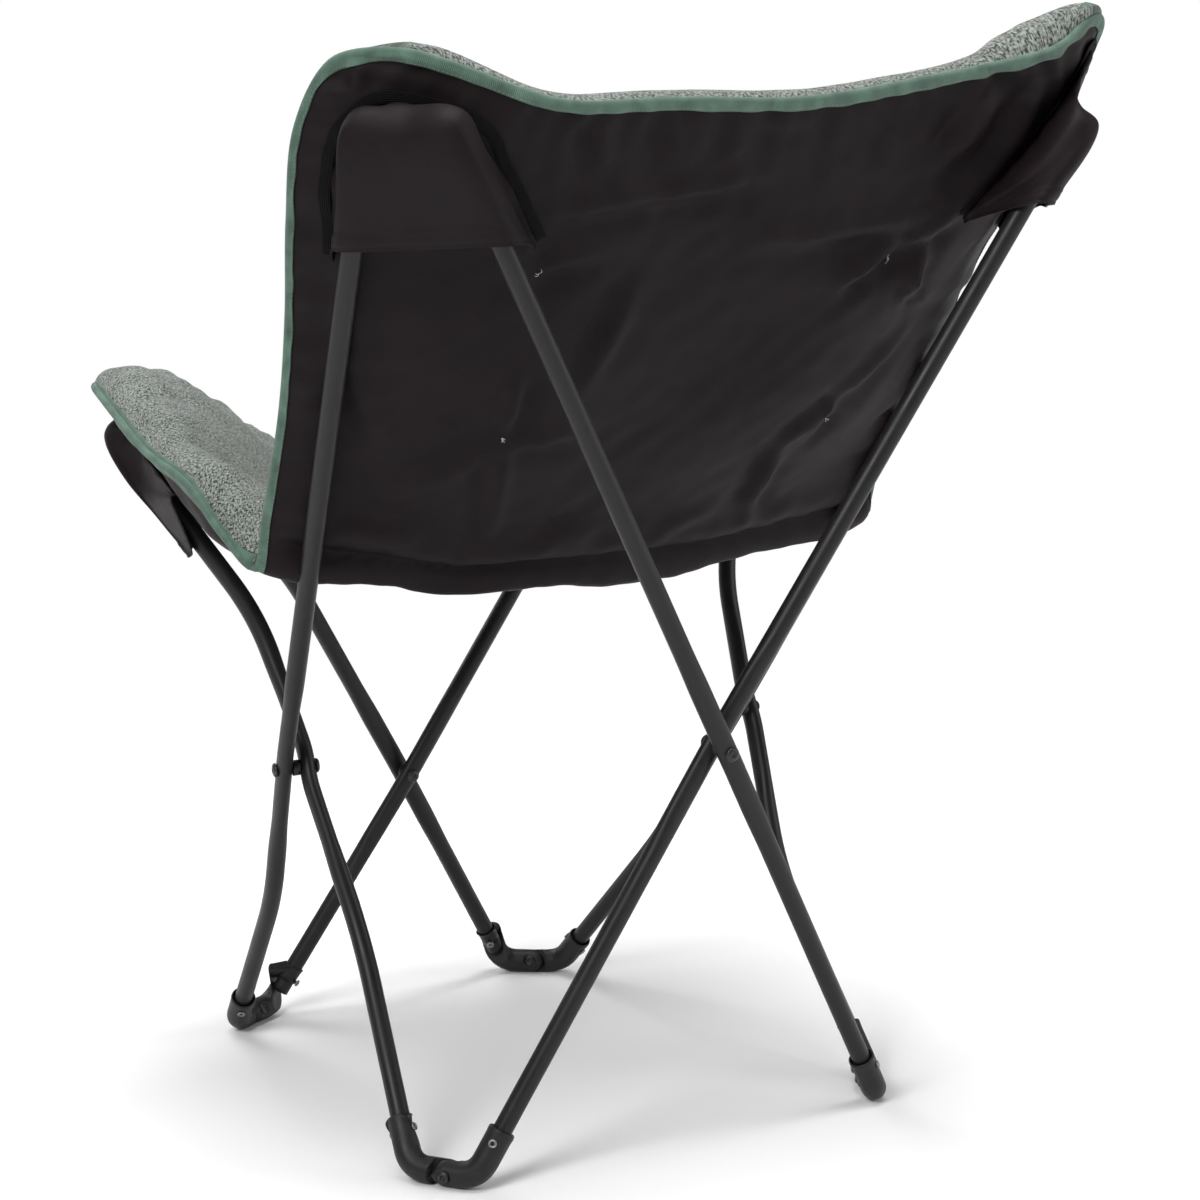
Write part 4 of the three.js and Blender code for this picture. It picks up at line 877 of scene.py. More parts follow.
class CHAIR_OT_tubes(bpy.types.Operator):
    """The eight tubes: a ring carried along each bent path, squeezed to an oval about its scissor pivot"""
    bl_idname = "chair.tubes"
    bl_label = "Tubes"

    def execute(self, context):
        s = sizes()
        coat = coat_of_tubes()
        turn = ring_angles(s.tube_sides)
        inside = s.socket_length - s.tube_inset
        wrap = np.linspace(0, 2 * math.pi * s.tube_radius * MM, s.tube_sides + 1)
        for bar in all_bars():
            name = bar["name"]
            line = cut_line(bent_path(bar["corners"], bar["reaches"], TUBE_STEP), inside, inside)
            run = run_length(line)
            at = run[np.argmin(np.linalg.norm(line - bar["pivot"], axis=1))]
            squeeze = 1 - smooth_step((np.abs(run - at) - s.oval_reach) / s.oval_fade)
            thick, wide = (s.tube_radius + (half - s.tube_radius) * squeeze for half in (s.oval_thick, s.oval_wide))
            _, across, along = frames_along(line, bar["axis"])
            grid = rings(line, across, along, np.outer(thick, np.cos(turn)), np.outer(wide, np.sin(turn)))
            faces, uv = tube_mesh(grid, wrap, run * MM)
            new_piece(f"{name}_steel", metres(grid), faces, uv, coat, name, (f"{name}_tube",))
        return {"FINISHED"}


# Knuckles in mm: play between touching pieces, rivet seat's depth, its floor's and its wall's radius, height of the
# rim's bead and of the mould line, and where the lip ends; then the share of a lug that its last ring stands at
PLAY, SEAT_DEPTH, SEAT_FLOOR, SEAT_WALL, BEAD, MOULD_LINE, LIP_END = 0.2, 1.4, 5.6, 1.6, 0.35, 0.22, 1.2
LUG_SHARE = 0.995
KNUCKLE_GIRTH, TURNED_GIRTH = 0.068, 0.03


def knuckle_grid(corner, into, hinge, axis, side, lap, slack, sole):
    """Rings along a socket, an elbow and a lug. The first rings line the socket's mouth; about the hinge the half
    towards the mating lug is pressed flat, the end is rounded and the outer face has a seat for the rivet."""
    s = sizes()
    radius, lug = s.knuckle_radius, s.knuckle_radius + PLAY
    room, end = lug + s.lug_room + slack, lug * LUG_SHARE
    line = bent_path([corner - into * s.socket_length, corner, hinge + unit(hinge - corner) * end],
                     [s.elbow_reach], KNUCKLE_STEP)
    run = run_length(line)
    # depth and radius of the rings in the mouth and round the lip
    mouth = np.array([[15, 8.5], [9, 8.6], [4, 8.9], [1.5, 9.2], [0.5, s.mouth_radius], [0.12, 9.85]])
    lip = np.array([[0.0, 10.05], [0.05, 10.3], [0.25, 10.55], [0.7, radius - 0.08]])
    rest = run[run > LIP_END]
    depth = np.concatenate([mouth[:, 0], lip[:, 0], rest])
    size = np.concatenate([mouth[:, 1], lip[:, 1], np.full(len(rest), radius)])
    number = np.arange(len(depth))
    size = size + np.where(number >= len(mouth) + 3, BEAD * np.exp(-(depth / 5.5) ** 4), 0)
    middle = at_runs(depth, run, line)
    across, along = (unit(at_runs(depth, run, ways)) for ways in frames_along(line, axis)[1:])
    past = np.clip(depth - (run[-1] - end), 0, end)
    high = np.minimum(size, np.sqrt(np.maximum(lug ** 2 - past ** 2, 0)) * size / lug)
    wide = size * (1 - 0.14 * (past / lug) ** 4)
    turn = ring_angles(s.knuckle_sides)
    mould = MOULD_LINE * (bell(np.sin(turn), 1, 0.012) + bell(np.sin(turn), -1, 0.012))
    moulded = (number > len(mouth) + 4) & (past <= 0)
    grid = rings(middle, across, along, np.outer(wide, np.cos(turn)),
                 (high[:, None] + np.outer(moulded, mould)) * np.sin(turn))
    reach = grid - hinge
    height = reach @ axis * side
    ring = np.linalg.norm(reach - axis * (reach @ axis)[..., None], axis=-1)
    outside = number[:, None] >= len(mouth)
    near = (ring < room) & (height < lap) & (height > -2 * radius)
    wanted = np.where(near & outside, lap, height)
    seat = radius - SEAT_DEPTH + 6 * smooth_step((ring - SEAT_FLOOR) / SEAT_WALL)
    wanted = np.where(outside, np.minimum(wanted, seat), wanted)
    grid = grid + axis * side * (wanted - height)[..., None]
    if sole:
        grid[..., 2] = np.maximum(grid[..., 2], 0.0)
    return grid, depth


class CHAIR_OT_knuckles(bpy.types.Operator):
    """Moulded elbow sockets at both ends of every bar, half lapped on their hinge rivets"""
    bl_idname = "chair.knuckles"
    bl_label = "Knuckles"

    def execute(self, context):
        plastic = plastic_of_knuckles()
        wrap = np.linspace(0, KNUCKLE_GIRTH, sizes().knuckle_sides + 1)
        for bar in all_bars():
            name, corners = bar["name"], bar["corners"]
            for word, corner, before, lap, slack in (("foot", corners[0], corners[1], FOOT_LAP, 0.0),
                                                     ("top", corners[-1], corners[-2], TOP_LAP, TOP_SLACK)):
                grid, depth = knuckle_grid(corner, unit(corner - before), *bar[word], lap, slack, word == "foot")
                faces, uv = tube_mesh(grid, wrap, depth * MM)
                new_piece(f"{name}_{word}_elbow", metres(grid), faces, uv, plastic, name,
                          (f"{name}_{word}_knuckle",))
        return {"FINISHED"}


# Turned heads: radius and height above the seat, in mm; the spacer's heights are from its middle
TUBULAR_HEAD = ((1.8, 0), (3.3, 0), (3.5, 0.35), (3.35, 0.8), (2.9, 1.15), (2.35, 1.25), (1.9, 1.0), (1.65, 0.4),
                (1.55, -1.6), (0.05, -1.8))
DOMED_HEAD = ((2.2, 0), (4.8, 0), (5.0, 0.3), (4.9, 0.9), (4.3, 1.7), (3.2, 2.2), (2.4, 2.35), (2.2, 1.9),
              (2.0, 1.2), (0.05, 1.1))
CAP_HEAD = ((2.9, 0), (6.0, 0), (6.2, 0.4), (6.1, 1.0), (5.5, 1.9), (4.3, 2.6), (2.7, 2.95), (1.9, 2.9), (1.7, 1.7),
            (0.05, 1.6))
SPACER = [(3.3, -3.0), (6.3, -3.0), (6.6, -2.6), (6.6, 2.6), (6.3, 3.0), (3.3, 3.0)]
# From a socket's rim to its rivet, and the inner end of the short rivet at the open front pivot
RIVET_DEPTH, STUD_END = 12.0, -3.2


def head(shape, seat):
    """A head's profile on a seat at a height."""
    return [(radius, seat + height) for radius, height in shape]


def flipped(profile):
    """The profile turned end for end."""
    return [(radius, -height) for radius, height in reversed(profile)]


def blunt(radius, height):
    """A flat end of a shank."""
    return [(0.05, height), (radius, height)]


def turned(name, origin, axis, profile, finish, slot, body, node, sides=36):
    """A turned piece: rings of the profile's radius at its heights along an axis."""
    radius, height = np.asarray(profile, float).T
    helper = vec(0, 0, 1) if abs(axis[2]) < 0.9 else vec(1, 0, 0)
    across = unit(np.cross(helper, axis))[None]
    turn = ring_angles(sides)
    grid = rings(origin + axis * height[:, None], across, np.cross(axis, across), np.outer(radius, np.cos(turn)),
                 np.outer(radius, np.sin(turn)))
    faces, uv = tube_mesh(grid, np.linspace(0, TURNED_GIRTH, sides + 1), height * MM)
    return new_piece(name, metres(grid), faces, uv, finish, body, (node,))


class CHAIR_OT_fasteners(bpy.types.Operator):
    """Tubular socket rivets, hinge rivets, domed pivot bolts and spacers, each a turned profile"""
    bl_idname = "chair.fasteners"
    bl_label = "Fasteners"

    def execute(self, context):
        s = sizes()
        steel = (steel_of_rivets(), "rivet_steel")
        black, plastic = (coat_of_bolts(), "rivet_steel"), (plastic_of_knuckles(), "knuckle_plastic")
        tubular = head(TUBULAR_HEAD, s.knuckle_radius + PLAY)
        for bar in all_bars():
            name, hinge = bar["name"], bar["foot"][1]
            into = unit(bar["corners"][0] - bar["corners"][1])
            across = unit(hinge - into * np.dot(hinge, into))
            turned(f"{name}_rivet", bar["corners"][0] - into * (s.socket_length - RIVET_DEPTH),
                   np.cross(into, across) if bar["along"] else across, flipped(tubular) + tubular, *steel, name,
                   f"{name}_socket_rivet")
        domed = head(DOMED_HEAD, s.knuckle_radius - SEAT_DEPTH + PLAY)
        through, short = flipped(domed) + domed, blunt(2.2, TOP_LAP) + domed
        hinges = (("back", "foot", BACK_FOOT, BACK_FOOT_AXIS, through, ("back_inner", "back_outer")),
                  ("front", "foot", FRONT_FOOT, FRONT_FOOT_AXIS, through, ("left_high", "right_high")),
                  ("back", "top", BACK_TOP, BACK_TOP_AXIS, short, ("back_outer", "back_inner")),
                  ("arm", "top", ARM_TOP, ARM_TOP_AXIS, short, ("front_outer", "front_inner")))
        for k, (word, _, flip) in enumerate(SIDES):
            for where, end, at, axis, profile, bodies in hinges:
                turned(f"{where}_{word}_{end}_pin", at * flip, axis * flip, profile, *black, bodies[k],
                       f"{where}_{word}_{end}_rivet")
        cap = head(CAP_HEAD, s.bar_offset + s.oval_thick + PLAY)
        for word, at, axis, body in (("back", BACK_PIVOT, BACK_AXIS, "sling"),
                                     ("left", SIDE_PIVOT, SIDE_AXIS, "left_high"),
                                     ("right", SIDE_PIVOT * MIRROR, SIDE_AXIS * MIRROR, "right_high")):
            turned(f"{word}_pivot_pin", at, axis, flipped(cap) + cap, *black, body, f"{word}_pivot_bolt")
            turned(f"{word}_pivot_ring", at, axis, SPACER, *plastic, body, f"{word}_pivot_spacer")
        cut = [(3.3, OPEN_END), (6.3, OPEN_END), (6.6, OPEN_END + 0.3)]
        for kind, profile, finish, body, node in (
                ("pin", blunt(2.9, OPEN_END) + cap, black, "front_inner", "bolt"),
                ("ring", cut + SPACER[3:], plastic, "front_inner", "spacer"),
                ("stud", flipped(cap) + blunt(2.9, STUD_END)[::-1], black, "front_outer", "rivet")):
            turned(f"front_pivot_{kind}", FRONT_PIVOT, FRONT_AXIS, profile, *finish, body, f"front_pivot_{node}")
        return {"FINISHED"}


# Width and row along the sewn borders of the pockets; the two at the back hang unevenly
BACK_BORDERS = {
    "left": ((0.925, 3.3), (0.94, 2.5), (0.925, 1.85), (0.865, 1.4), (0.76, 1.5), (0.64, 2.35), (0.53, 3.1)),
    "right": ((0.95, 3.2), (0.965, 2.3), (0.97, 1.5), (0.955, 0.95), (0.89, 1.4), (0.77, 2.2), (0.66, 2.95))}
ARM_BORDER = ((0.93, 9.7), (0.94, 10.5), (0.935, 11.2), (0.91, 11.72), (0.82, 11.8), (0.72, 11.8), (0.62, 11.72))
ARM_BORDERS = {"left": ARM_BORDER, "right": ARM_BORDER}
# How far the hems hang below the knuckles along the side bar and along the back or front bar, in mm
BACK_DROPS = {"left": (87.0, 81.0), "right": (66.0, 60.0)}
ARM_DROPS = {"left": (112.0, 112.0), "right": (112.0, 112.0)}
# Distances in mm: pad from cover, least filling over it, tape from cloth, pocket seam and webbing from cover
PAD_GAP, LEAST_FILL, TAPE_GAP, SEAM_GAP, WEB_GAP = 0.2, 1.2, 0.25, 0.5, 0.4


def sling_piece(name, points, faces, uv, finish, slot, *replaced):
    """A piece that rides on the sling, with a mesh of its own."""
    piece = new_piece(name, metres(points), faces, uv, finish, "sling", replaced)
    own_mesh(piece)
    return piece


def cloth_piece(name, front, back, flat, finish, slot, replaced):
    """A closed sheet of the sling between two faces, with a UV map from its places laid flat."""
    points, faces = sheet_mesh(front, back)
    return sling_piece(name, points, faces, sheet_uv(faces, *flat), finish, slot, replaced)


def cover_face(u, v, lift=0.0):
    """Places on the black face, raised by a lift away from the sitter."""
    return sling_face(u, v) + sling_normal(u, v) * (cover_lift(u, v) - lift)[..., None]


def pad_face(u, v, lift=0.0):
    """Places on the sitting face, raised by a lift towards the sitter."""
    least = sling_sizes().cover_thick + LEAST_FILL + np.maximum(0, cover_lift(u, v))
    high = np.maximum(pad_lift(u, v), least)
    return sling_face(u, v) + sling_normal(u, v) * (high + lift)[..., None] + pad_roll(u, v)


def step_places(u, v, direction):
    """Change of width and of row per millimetre along a direction in the face, by least squares."""
    across, down = sling_slopes(u, v)
    aa, ad, dd = (across * across).sum(-1), (across * down).sum(-1), (down * down).sum(-1)
    da, dd_run = (direction * across).sum(-1), (direction * down).sum(-1)
    det = aa * dd - ad * ad
    return (da * dd - dd_run * ad) / det, (dd_run * aa - da * ad) / det


class CHAIR_OT_pad(bpy.types.Operator):
    """The stuffed sitting side of melange cloth"""
    bl_idname = "chair.pad"
    bl_label = "Pad"

    def execute(self, context):
        s = sling_sizes()
        u, v = sling_grid(s.columns, s.rows)
        face = pad_face(u, v)
        piece = cloth_piece("sling_stuffed_front", face, cover_face(u, v, -s.cover_thick - PAD_GAP),
                            flat_places(face), melange_cloth(), "seat_cloth", "sling_pad")
        return {"FINISHED"}


def rim_places(count):
    """Width and row of evenly spaced points round the rim: along the top, a side, the front, the other side."""
    turn = np.linspace(0, math.pi / 2, 16)
    top_u, top_v = 1 - ROUND_TOP[1] * (1 - np.sin(turn)), ROUND_TOP[0] * (1 - np.cos(turn))
    low_u = 1 - ROUND_FRONT[1] * (1 - np.sin(turn))
    low_v = LAST_ROW - ROUND_FRONT[0] * (1 - np.cos(turn))
    side = np.linspace(ROUND_TOP[0], LAST_ROW - ROUND_FRONT[0], 240)[1:-1]
    top, front = np.linspace(0, top_u[0], 80)[:-1], np.linspace(low_u[0], 0, 80)[1:]
    u = np.concatenate([top, top_u, 0 * side + 1, low_u[::-1], front])
    v = np.concatenate([0 * top, top_v, side, low_v[::-1], 0 * front + LAST_ROW])
    u, v = np.concatenate([u, -u[-2::-1]]), np.concatenate([v, v[-2::-1]])
    run = run_length(sling_face(u, v))
    at = np.linspace(0, run[-1], count + 1)
    return np.interp(at, run, u)[:-1], np.interp(at, run, v)[:-1], at


def loop_mesh(grid, wrap_u, v):
    """Faces and UV of closed profiles round a closed loop, turned to face outward."""
    rows, cols = grid.shape[:2]
    faces = grid_quads(rows + 1, cols, True) % (rows * cols)
    uv = grid_uv(rows + 1, cols, True, wrap_u, v).reshape(-1, 4, 2)
    a, b, c, d = (grid.reshape(-1, 3)[faces[:, k]] for k in range(4))
    if (np.cross(b - a, c - a) * a).sum() + (np.cross(c - a, d - a) * a).sum() < 0:
        faces, uv = faces[:, ::-1], uv[:, ::-1]
    return faces, uv.reshape(-1, 2)


# Shares of the tape's front that the pad hides at the top and front edges and along the arms, over how many mm, and
# how much slimmer its back is away from the top edge
TAPE_HIDDEN, ARM_TAPE_HIDDEN, HIDDEN_REACH, TAPE_SLIM = 0.72, 0.88, 25, 0.4
TAPE_STEPS, EDGE_STEPS, TAPE_SWAY = 6, 9, 0.35
# Half width and height of a stitch in mm, and the faces of its six points
STITCH_HALF, STITCH_HIGH = 0.36, 0.34
STITCH_FACES = np.array([(0, 1, 4), (1, 2, 4), (2, 3, 4), (3, 0, 4), (1, 0, 5), (2, 1, 5), (3, 2, 5), (0, 3, 5)])


class CHAIR_OT_binding(bpy.types.Operator):
    """Herringbone tape folded over the whole rim: a rounded channel that follows both faces of the sling"""
    bl_idname = "chair.binding"
    bl_label = "Binding"

    def execute(self, context):
        s = sling_sizes()
        u, v, at = rim_places(s.tape_rings)
        rim, normal = sling_face(u, v), sling_normal(u, v)
        inward = unit(np.cross(np.roll(rim, -1, 0) - np.roll(rim, 1, 0), normal))
        du, dv = step_places(u, v, inward)
        _, top, front = edge_distance(u, v)
        hidden = np.maximum(fade(top, HIDDEN_REACH), fade(front, HIDDEN_REACH))
        shown = np.minimum(1 - TAPE_HIDDEN * hidden, 1 - ARM_TAPE_HIDDEN * smooth_step((v - 6.8) / 1.2))
        reach = s.tape_width * np.outer(shown, np.linspace(0, 1, TAPE_STEPS))
        slim = 1 - TAPE_SLIM * smooth_step((v - 0.6) / 0.8)
        sway = TAPE_SWAY * waves(rim, seed=41, count=8, shortest=30, longest=90)[:, None]
        under = s.tape_width * np.outer(slim, np.linspace(1, 0, TAPE_STEPS)) + sway
        turn = np.linspace(-math.pi / 2, math.pi / 2, EDGE_STEPS)[1:-1][:, None]

        def inside(step):
            return u[:, None] + du[:, None] * step, v[:, None] + dv[:, None] * step

        def profile(out):
            middle = (s.cover_thick + s.pad_edge) / 2
            round_edge = (rim[:, None] + normal[:, None] * (middle + (middle + out) * np.sin(turn))
                          - inward[:, None] * (middle + out) * np.cos(turn))
            return np.concatenate([cover_face(*inside(under), out), round_edge, pad_face(*inside(reach), out)], 1)

        outer = profile(TAPE_GAP + s.tape_thick)
        grid = np.concatenate([outer, profile(TAPE_GAP)[:, ::-1]], 1)
        closed = np.concatenate([grid, grid[:, :1]], 1)
        wrap = sums(np.linalg.norm(np.diff(closed, axis=1), axis=-1).mean(0))
        faces, uv = loop_mesh(grid, wrap * MM, at * MM)
        sling_piece("sling_edge_tape", grid, faces, uv, herringbone_tape(), "binding_tape", "sling_binding")

        count = int(at[-1] / s.stitch_step)
        k = (np.arange(count) + 0.5) / count * len(u)
        share = (k % 1)[:, None]
        k = k.astype(int)
        behind = outer[:, 1]
        ahead = np.roll(behind, -1, 0)
        middle = behind[k] * (1 - share) + ahead[k] * share
        along, out = unit(ahead - behind)[k], -normal[k]
        cross = np.cross(along, out) * STITCH_HALF
        six = np.stack([along, cross, -along, -cross, out * STITCH_HIGH, -out * STITCH_HIGH], 1)
        faces = (6 * np.arange(count)[:, None, None] + STITCH_FACES).reshape(-1, 3)
        sling_piece("sling_edge_stitches", middle[:, None] + six, faces, None,
                    sewing_thread("tape_thread", tuple(colours().stitch)), "binding_tape")
        return {"FINISHED"}


class CHAIR_OT_cover(bpy.types.Operator):
    """The black cloth on the back of the sling"""
    bl_idname = "chair.cover"
    bl_label = "Back cover"

    def execute(self, context):
        s = sling_sizes()
        u, v = sling_grid(s.columns, s.rows)
        face = cover_face(u, v)
        across, down = flat_places(face)
        piece = cloth_piece("sling_black_back", cover_face(u, v, -s.cover_thick), face, (across, down),
                            black_polyester("back_cloth", tuple(colours().cloth)), "back_cloth", "sling_back_cover")
        return {"FINISHED"}


# How far down the bars the crown and outside lines of a pocket cross them: in mm at the back, a share at the arm
BACK_HALF, ARM_HALF = 34.0, 0.45


def back_flap(room, border, drops):
    """Four lines over the left back corner: the sewn border, the crown over the knuckles, the outside, the hem."""
    rho, up = BACK_TOP_AXIS, vec(0, 0, 1)
    tau = vec(rho[1], -rho[0], 0)
    offset = sizes().bar_offset
    side_corner, back_corner = BACK_TOP + BACK_TOP_SIDE_ARM, BACK_TOP + BACK_TOP_ARM + BACK_AXIS * CORNER_OFFSET
    side_point, back_point = SIDE_PIVOT + SIDE_AXIS * offset, BACK_PIVOT + BACK_AXIS * offset

    def off(p, r, t, z):
        return p + rho * r + tau * t + up * z

    def down(corner, point, drop):
        return corner + (point - corner) * drop / (corner[2] - point[2])

    first, last = border[0], border[-1]
    k, t = KNUCKLE_RADIUS + room, sizes().tube_radius + room
    side_mid, low_side = (down(side_corner, side_point, drop) for drop in (BACK_HALF, drops[0]))
    back_mid, low_back = (down(back_corner, back_point, drop) for drop in (BACK_HALF, drops[1]))
    crown = [off(first, 1, 0, -1.5), off(side_mid, 0, k, 0), off(side_corner, 4, 0.66 * k, 0.66 * k),
             off(BACK_TOP, 2, 0, k + 1), off(back_corner, 2, -0.66 * k, 0.72 * k), off(back_mid, -k, -0.7 * k, 0),
             off(last, 1, 0, -1.5)]
    outer = [off(first, 2, 0, -3), off(side_mid, 0.75 * k, 0.75 * k, 0), off(side_corner, k, 0.7 * k, 0),
             off(BACK_TOP, k, 0, 0), off(back_corner, k, -0.65 * k, 0), off(back_mid, 0, -k, 0),
             off(last, 2, 0, -3)]
    hem = [off(first, 3, 0, -5), off(low_side, 0.75 * t, 0.75 * t, 0), off(low_side, t + 2, 0, 0),
           off((low_side + low_back) / 2, t, 0, 0), off(low_back, t + 2, 0, 0), off(low_back, 0.3 * t, -t - 2, 0),
           off(last, 3, 0, -5)]
    return border, crown, outer, hem


def arm_flap(room, border, drops):
    """The same four lines over the left arm tip, square to the plane of the two bars that meet there."""
    rho, up = ARM_TOP_AXIS, vec(0, 0, 1)
    tau = vec(-rho[1], rho[0], 0)
    side_corner, front_corner = ARM_TOP + ARM_TOP_SIDE_ARM, ARM_TOP + ARM_TOP_ARM
    side_run = unit(LOW_TOP_BEND - side_corner)
    front_run = unit(FRONT_TOP_BEND - FRONT_AXIS * sizes().bar_offset - front_corner)
    out = unit(np.cross(front_run, side_run))
    out = -out if out[2] > 0 else out
    side_away, front_away = unit(np.cross(out, side_run)), unit(np.cross(out, front_run))
    side_away = side_away if side_away @ tau > 0 else -side_away
    front_away = front_away if front_away @ tau < 0 else -front_away

    def off(p, o, t):
        return p + out * o + (side_away if t > 0 else front_away) * abs(t)

    def beside(p, r, z, s):
        return p + rho * r + tau * s + up * z

    first, last = border[0], border[-1]
    k, t = KNUCKLE_RADIUS + room, sizes().tube_radius + room
    (side_high, side_mid, side_low), (front_high, front_mid, front_low) = (
        [corner + run * drop * share for share in (ARM_HALF * 0.7, ARM_HALF, 1)]
        for corner, run, drop in zip((side_corner, front_corner), (side_run, front_run), drops))
    crown = [off(first, 1, 0.4), off(side_high, 2, k), beside(side_corner, 0.75 * k, 0.5 * k, 0.6 * k),
             beside(ARM_TOP, k, 0.45 * k, 0), beside(front_corner, 0.75 * k, 0.5 * k, -0.6 * k),
             off(front_high, 2, -k), off(last, 1, -0.4)]
    outer = [off(first, 2.5, 0.8), off(side_mid, 0.8 * k, 0.75 * k), off(side_corner, k, 0.5 * k),
             beside(ARM_TOP, 0.9 * k, -0.5 * k, 0), off(front_corner, k, -0.5 * k),
             off(front_mid, 0.8 * k, -0.75 * k), off(last, 2.5, -0.8)]
    hem = [off(first, 4, 1.2), off(side_low, 0.6 * t, 0.9 * t), off(side_low, t + 2, 0),
           off((side_low + front_low) / 2, t, 0), off(front_low, t + 2, 0), off(front_low, 0.6 * t, -0.9 * t),
           off(last, 4, -1.2)]
    return border, crown, outer, hem


def flap_grid(lines, across, down):
    """A flap through four lines of points: a smooth line along each, then one across the four, finer at the hem."""
    four = np.stack([catmull(np.stack(line), np.linspace(0, len(line) - 1, across + 1)) for line in lines])
    rows = np.linspace(0, 1, down + 1)
    return np.stack([catmull(four, t) for t in 3 * (1 - (1 - rows) ** 1.7)])


# Cells of a pocket, and rings of a border with their sides
FLAP_COLUMNS, FLAP_ROWS, BORDER_RINGS, BORDER_SIDES = 90, 56, 91, 16
# Pocket cloth in mm: puckers, pulls, the double hem's height and width, its stitch lines' depth and places
PUCKER, PULL, HEM_HIGH, HEM_WIDE, STITCH_DEPTH, STITCH_LINES = 2.4, 1.3, 0.9, 13, 0.55, (3.0, 11.0)


def flap_relief(grid, seed):
    """Height of a flap's cloth: puckers along the sewn border, soft pulls and a stitched hem of double cloth."""
    from_border = sums(np.linalg.norm(np.diff(grid, axis=0), axis=-1))
    to_hem = from_border[-1] - from_border
    puckers = waves(grid[0], seed, count=8, shortest=14, longest=40) * fade(from_border, 16) * rise(from_border, 3)
    pulls = waves(grid, seed + 1, count=10, shortest=40, longest=120) * rise(from_border, 25) * rise(to_hem, 25)
    hem = HEM_HIGH * (1 - smooth_step((to_hem - HEM_WIDE) / 2))
    stitches = sum(bell(to_hem, place, 1.1) for place in STITCH_LINES)
    return PUCKER * puckers + PULL * pulls + hem - STITCH_DEPTH * stitches


class CHAIR_OT_pockets(bpy.types.Operator):
    """Black pockets that hold the frame's top knuckles: two at the back corners and two under the arm tips"""
    bl_idname = "chair.pockets"
    bl_label = "Pockets"

    def execute(self, context):
        s = sling_sizes()
        cloth = black_polyester("pocket_cloth", tuple(colours().cloth))
        kinds = (("back", back_flap, s.back_room, BACK_BORDERS, BACK_DROPS, "high", "back"),
                 ("arm", arm_flap, s.arm_room, ARM_BORDERS, ARM_DROPS, "low", "front"))
        for number, (kind, flap, room, borders, drops, side_bar, end_bar) in enumerate(kinds):
            for word, side, flip in SIDES:
                u, v = np.array(borders[word], float).T
                border = cover_face(u * side, v, SEAM_GAP) * flip
                grid = flap_grid(flap(room, border, drops[word]), FLAP_COLUMNS, FLAP_ROWS) * flip
                normal = np.cross(np.gradient(grid, axis=1), np.gradient(grid, axis=0))
                if (unit(normal) * (grid - grid[0].mean(0))).sum() < 0:
                    grid, normal = grid[:, ::-1], -normal[:, ::-1]
                normal = unit(normal)
                inner = grid + normal * flap_relief(grid, 51 + 7 * number + (word == "right"))[..., None]
                piece = cloth_piece(f"{kind}_{word}_flap", inner, inner + normal * s.pocket_thick, flat_places(grid),
                                    cloth, "back_cloth", f"{kind}_{word}_pocket")
        return {"FINISHED"}


class CHAIR_OT_borders(bpy.types.Operator):
    """Webbing sewn round the back pockets: a flat rounded band carried along the pocket's border"""
    bl_idname = "chair.borders"
    bl_label = "Pocket borders"

    def execute(self, context):
        s = sling_sizes()
        web = ribbed_webbing()
        turn = ring_angles(BORDER_SIDES)
        wide, high = (np.sign(wave) * np.abs(wave) ** power * size / 2 for wave, power, size in (
            (np.cos(turn), 0.4, s.border_width), (np.sin(turn), 0.6, s.border_thick)))
        wrap = sums(np.hypot(np.diff(wide, append=wide[0]), np.diff(high, append=high[0])))
        push = 1.0 + s.border_width / 2
        for word, side, _ in SIDES:
            places = np.array(BACK_BORDERS[word], float)
            u, v = catmull(places, np.linspace(0, len(places) - 1, BORDER_RINGS)).T
            u = u * side
            normal = sling_normal(u, v)
            outward = np.cross(unit(np.gradient(sling_face(u, v), axis=0)), normal) * side
            du, dv = step_places(u, v, outward)
            middle = cover_face(u + du * push, v + dv * push, WEB_GAP + s.border_thick / 2)
            grid = rings(middle, outward, normal, wide * side, high)
            faces, uv = tube_mesh(grid, wrap * MM, run_length(middle) * MM)
            sling_piece(f"back_{word}_flap_webbing", grid, faces, uv, web, "webbing", f"back_{word}_pocket_border")
        return {"FINISHED"}


# Tuft threads: strands at each tuft, sides, points along one, radius at its root, its thinning and arch in mm
STRANDS, STRAND_SIDES, STRAND_POINTS, STRAND_RADIUS, STRAND_THIN, STRAND_ARCH = 3, 6, 12, 0.36, 0.16, 1.6


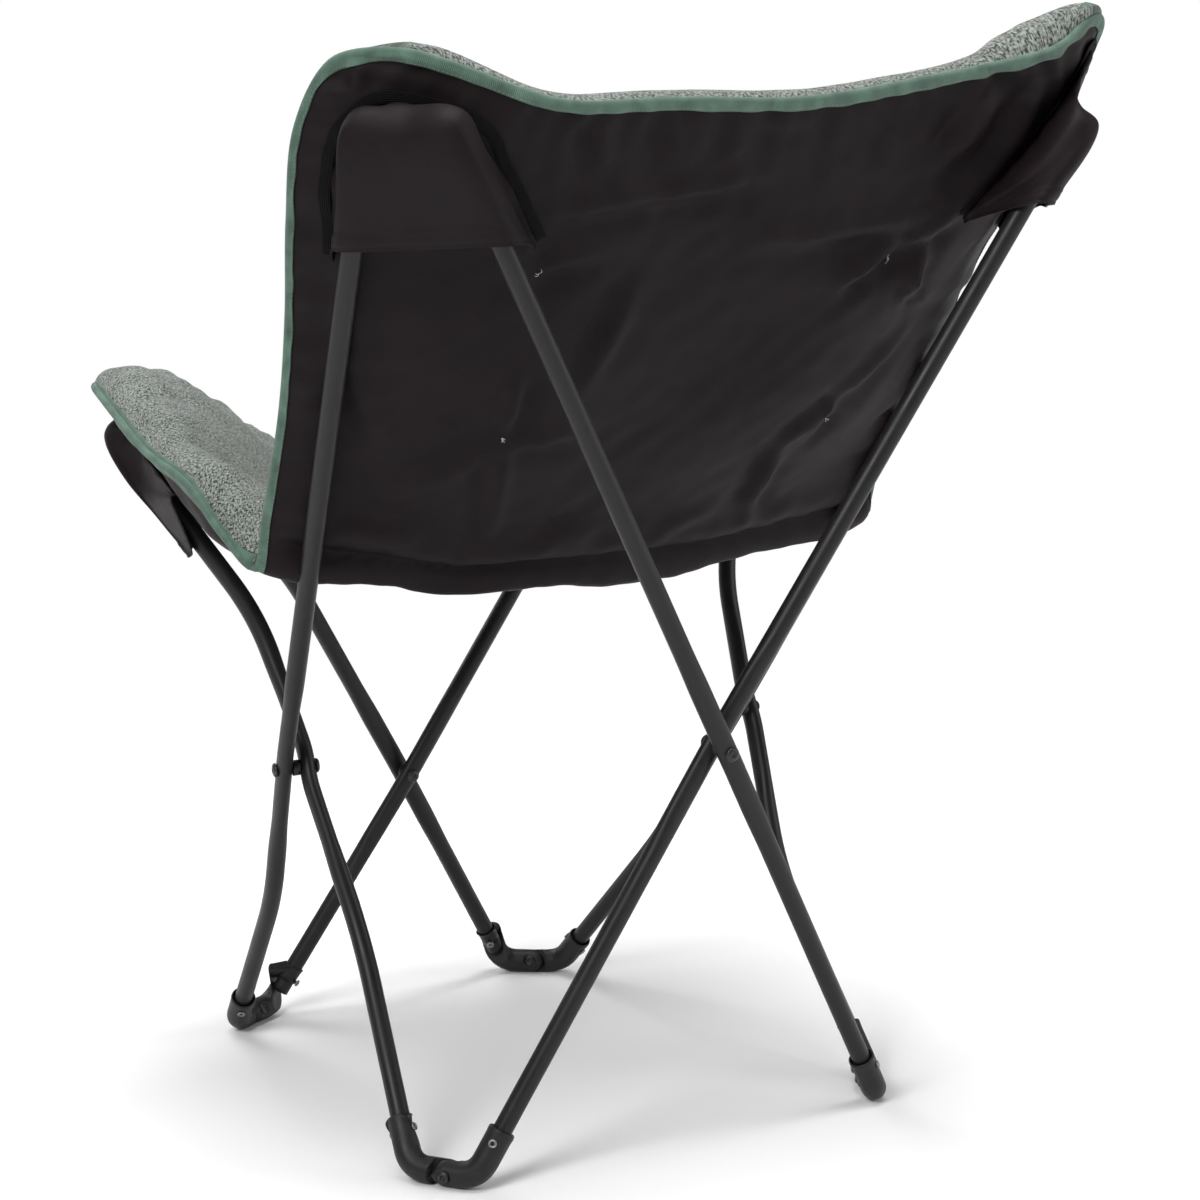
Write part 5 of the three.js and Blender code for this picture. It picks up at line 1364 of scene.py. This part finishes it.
class CHAIR_OT_tufts(bpy.types.Operator):
    """Loose ends of the tuft stitches: short curling threads on the black side and on the sitting side"""
    bl_idname = "chair.tufts"
    bl_label = "Tuft threads"

    def execute(self, context):
        thread = sewing_thread("tuft_thread", tuple(colours().thread))
        rng = np.random.default_rng(8)
        turn = ring_angles(STRAND_SIDES)
        t = np.linspace(0, 1, STRAND_POINTS)
        radius = STRAND_RADIUS - STRAND_THIN * t
        for place, face, lift, tufts in (("back", cover_face, 0.5, TUFTS[:2]), ("seat", pad_face, 0.3, TUFTS)):
            points, faces, count = [], [], 0
            for u, v in [(np.array([side * tu]), np.array([tv])) for side in (-1, 1) for tu, tv in tufts]:
                at = face(u, v, lift)[0]
                across, down = (unit(w[0]) for w in sling_slopes(u, v))
                out = np.cross(across, down) if place == "back" else np.cross(down, across)
                for _ in range(STRANDS):
                    heading = rng.uniform(0, 2 * math.pi)
                    length, curl = rng.uniform(3.0, 6.5), rng.uniform(-2.2, 2.2)
                    angle = heading + curl * t
                    step = (across * np.cos(angle)[:, None] + down * np.sin(angle)[:, None]) * length / len(t)
                    arch = STRAND_ARCH * np.sin(math.pi * t * 0.9)
                    line = at + np.cumsum(step, axis=0) + out * arch[:, None]
                    _, one, two = frames_along(line, out)
                    grid = rings(line, one, two, np.outer(radius, np.cos(turn)), np.outer(radius, np.sin(turn)))
                    made, _ = tube_mesh(grid, np.linspace(0, 1, STRAND_SIDES + 1), t)
                    faces += [np.add(face_corners, count).tolist() for face_corners in made]
                    count += STRAND_POINTS * STRAND_SIDES
                    points.append(grid.reshape(-1, 3))
            sling_piece(f"tuft_threads_{place}", np.concatenate(points), faces, None, thread, "binding_tape")
        return {"FINISHED"}


CLASSES = [ChairFrameSizes, ChairSlingSizes, ChairColours, CHAIR_OT_stage, CHAIR_OT_tubes, CHAIR_OT_knuckles,
           CHAIR_OT_fasteners, CHAIR_OT_pad, CHAIR_OT_binding, CHAIR_OT_cover, CHAIR_OT_pockets, CHAIR_OT_borders,
           CHAIR_OT_tufts]
STEPS = [c for c in CLASSES if issubclass(c, bpy.types.Operator)]


class CHAIR_PT_pieces(bpy.types.Panel):
    """Lists the chair's pieces"""
    bl_idname = "CHAIR_PT_pieces"
    bl_label = "Butterfly chair"
    bl_space_type = "VIEW_3D"
    bl_region_type = "UI"
    bl_category = "Chair"

    def draw(self, context):
        for step in STEPS:
            self.layout.operator(step.bl_idname)


def register():
    for c in [*CLASSES, CHAIR_PT_pieces]:
        bpy.utils.register_class(c)
    bpy.types.Scene.chair_frame = PointerProperty(type=ChairFrameSizes)
    bpy.types.Scene.chair_sling = PointerProperty(type=ChairSlingSizes)
    bpy.types.Scene.chair_colours = PointerProperty(type=ChairColours)


def unregister():
    for name in ("chair_frame", "chair_sling", "chair_colours"):
        delattr(bpy.types.Scene, name)
    for c in [CHAIR_PT_pieces, *reversed(CLASSES)]:
        bpy.utils.unregister_class(c)


def main():
    register()
    for step in STEPS:
        group, name = step.bl_idname.split(".")
        getattr(getattr(bpy.ops, group), name)()


if __name__ == "__main__":
    main()
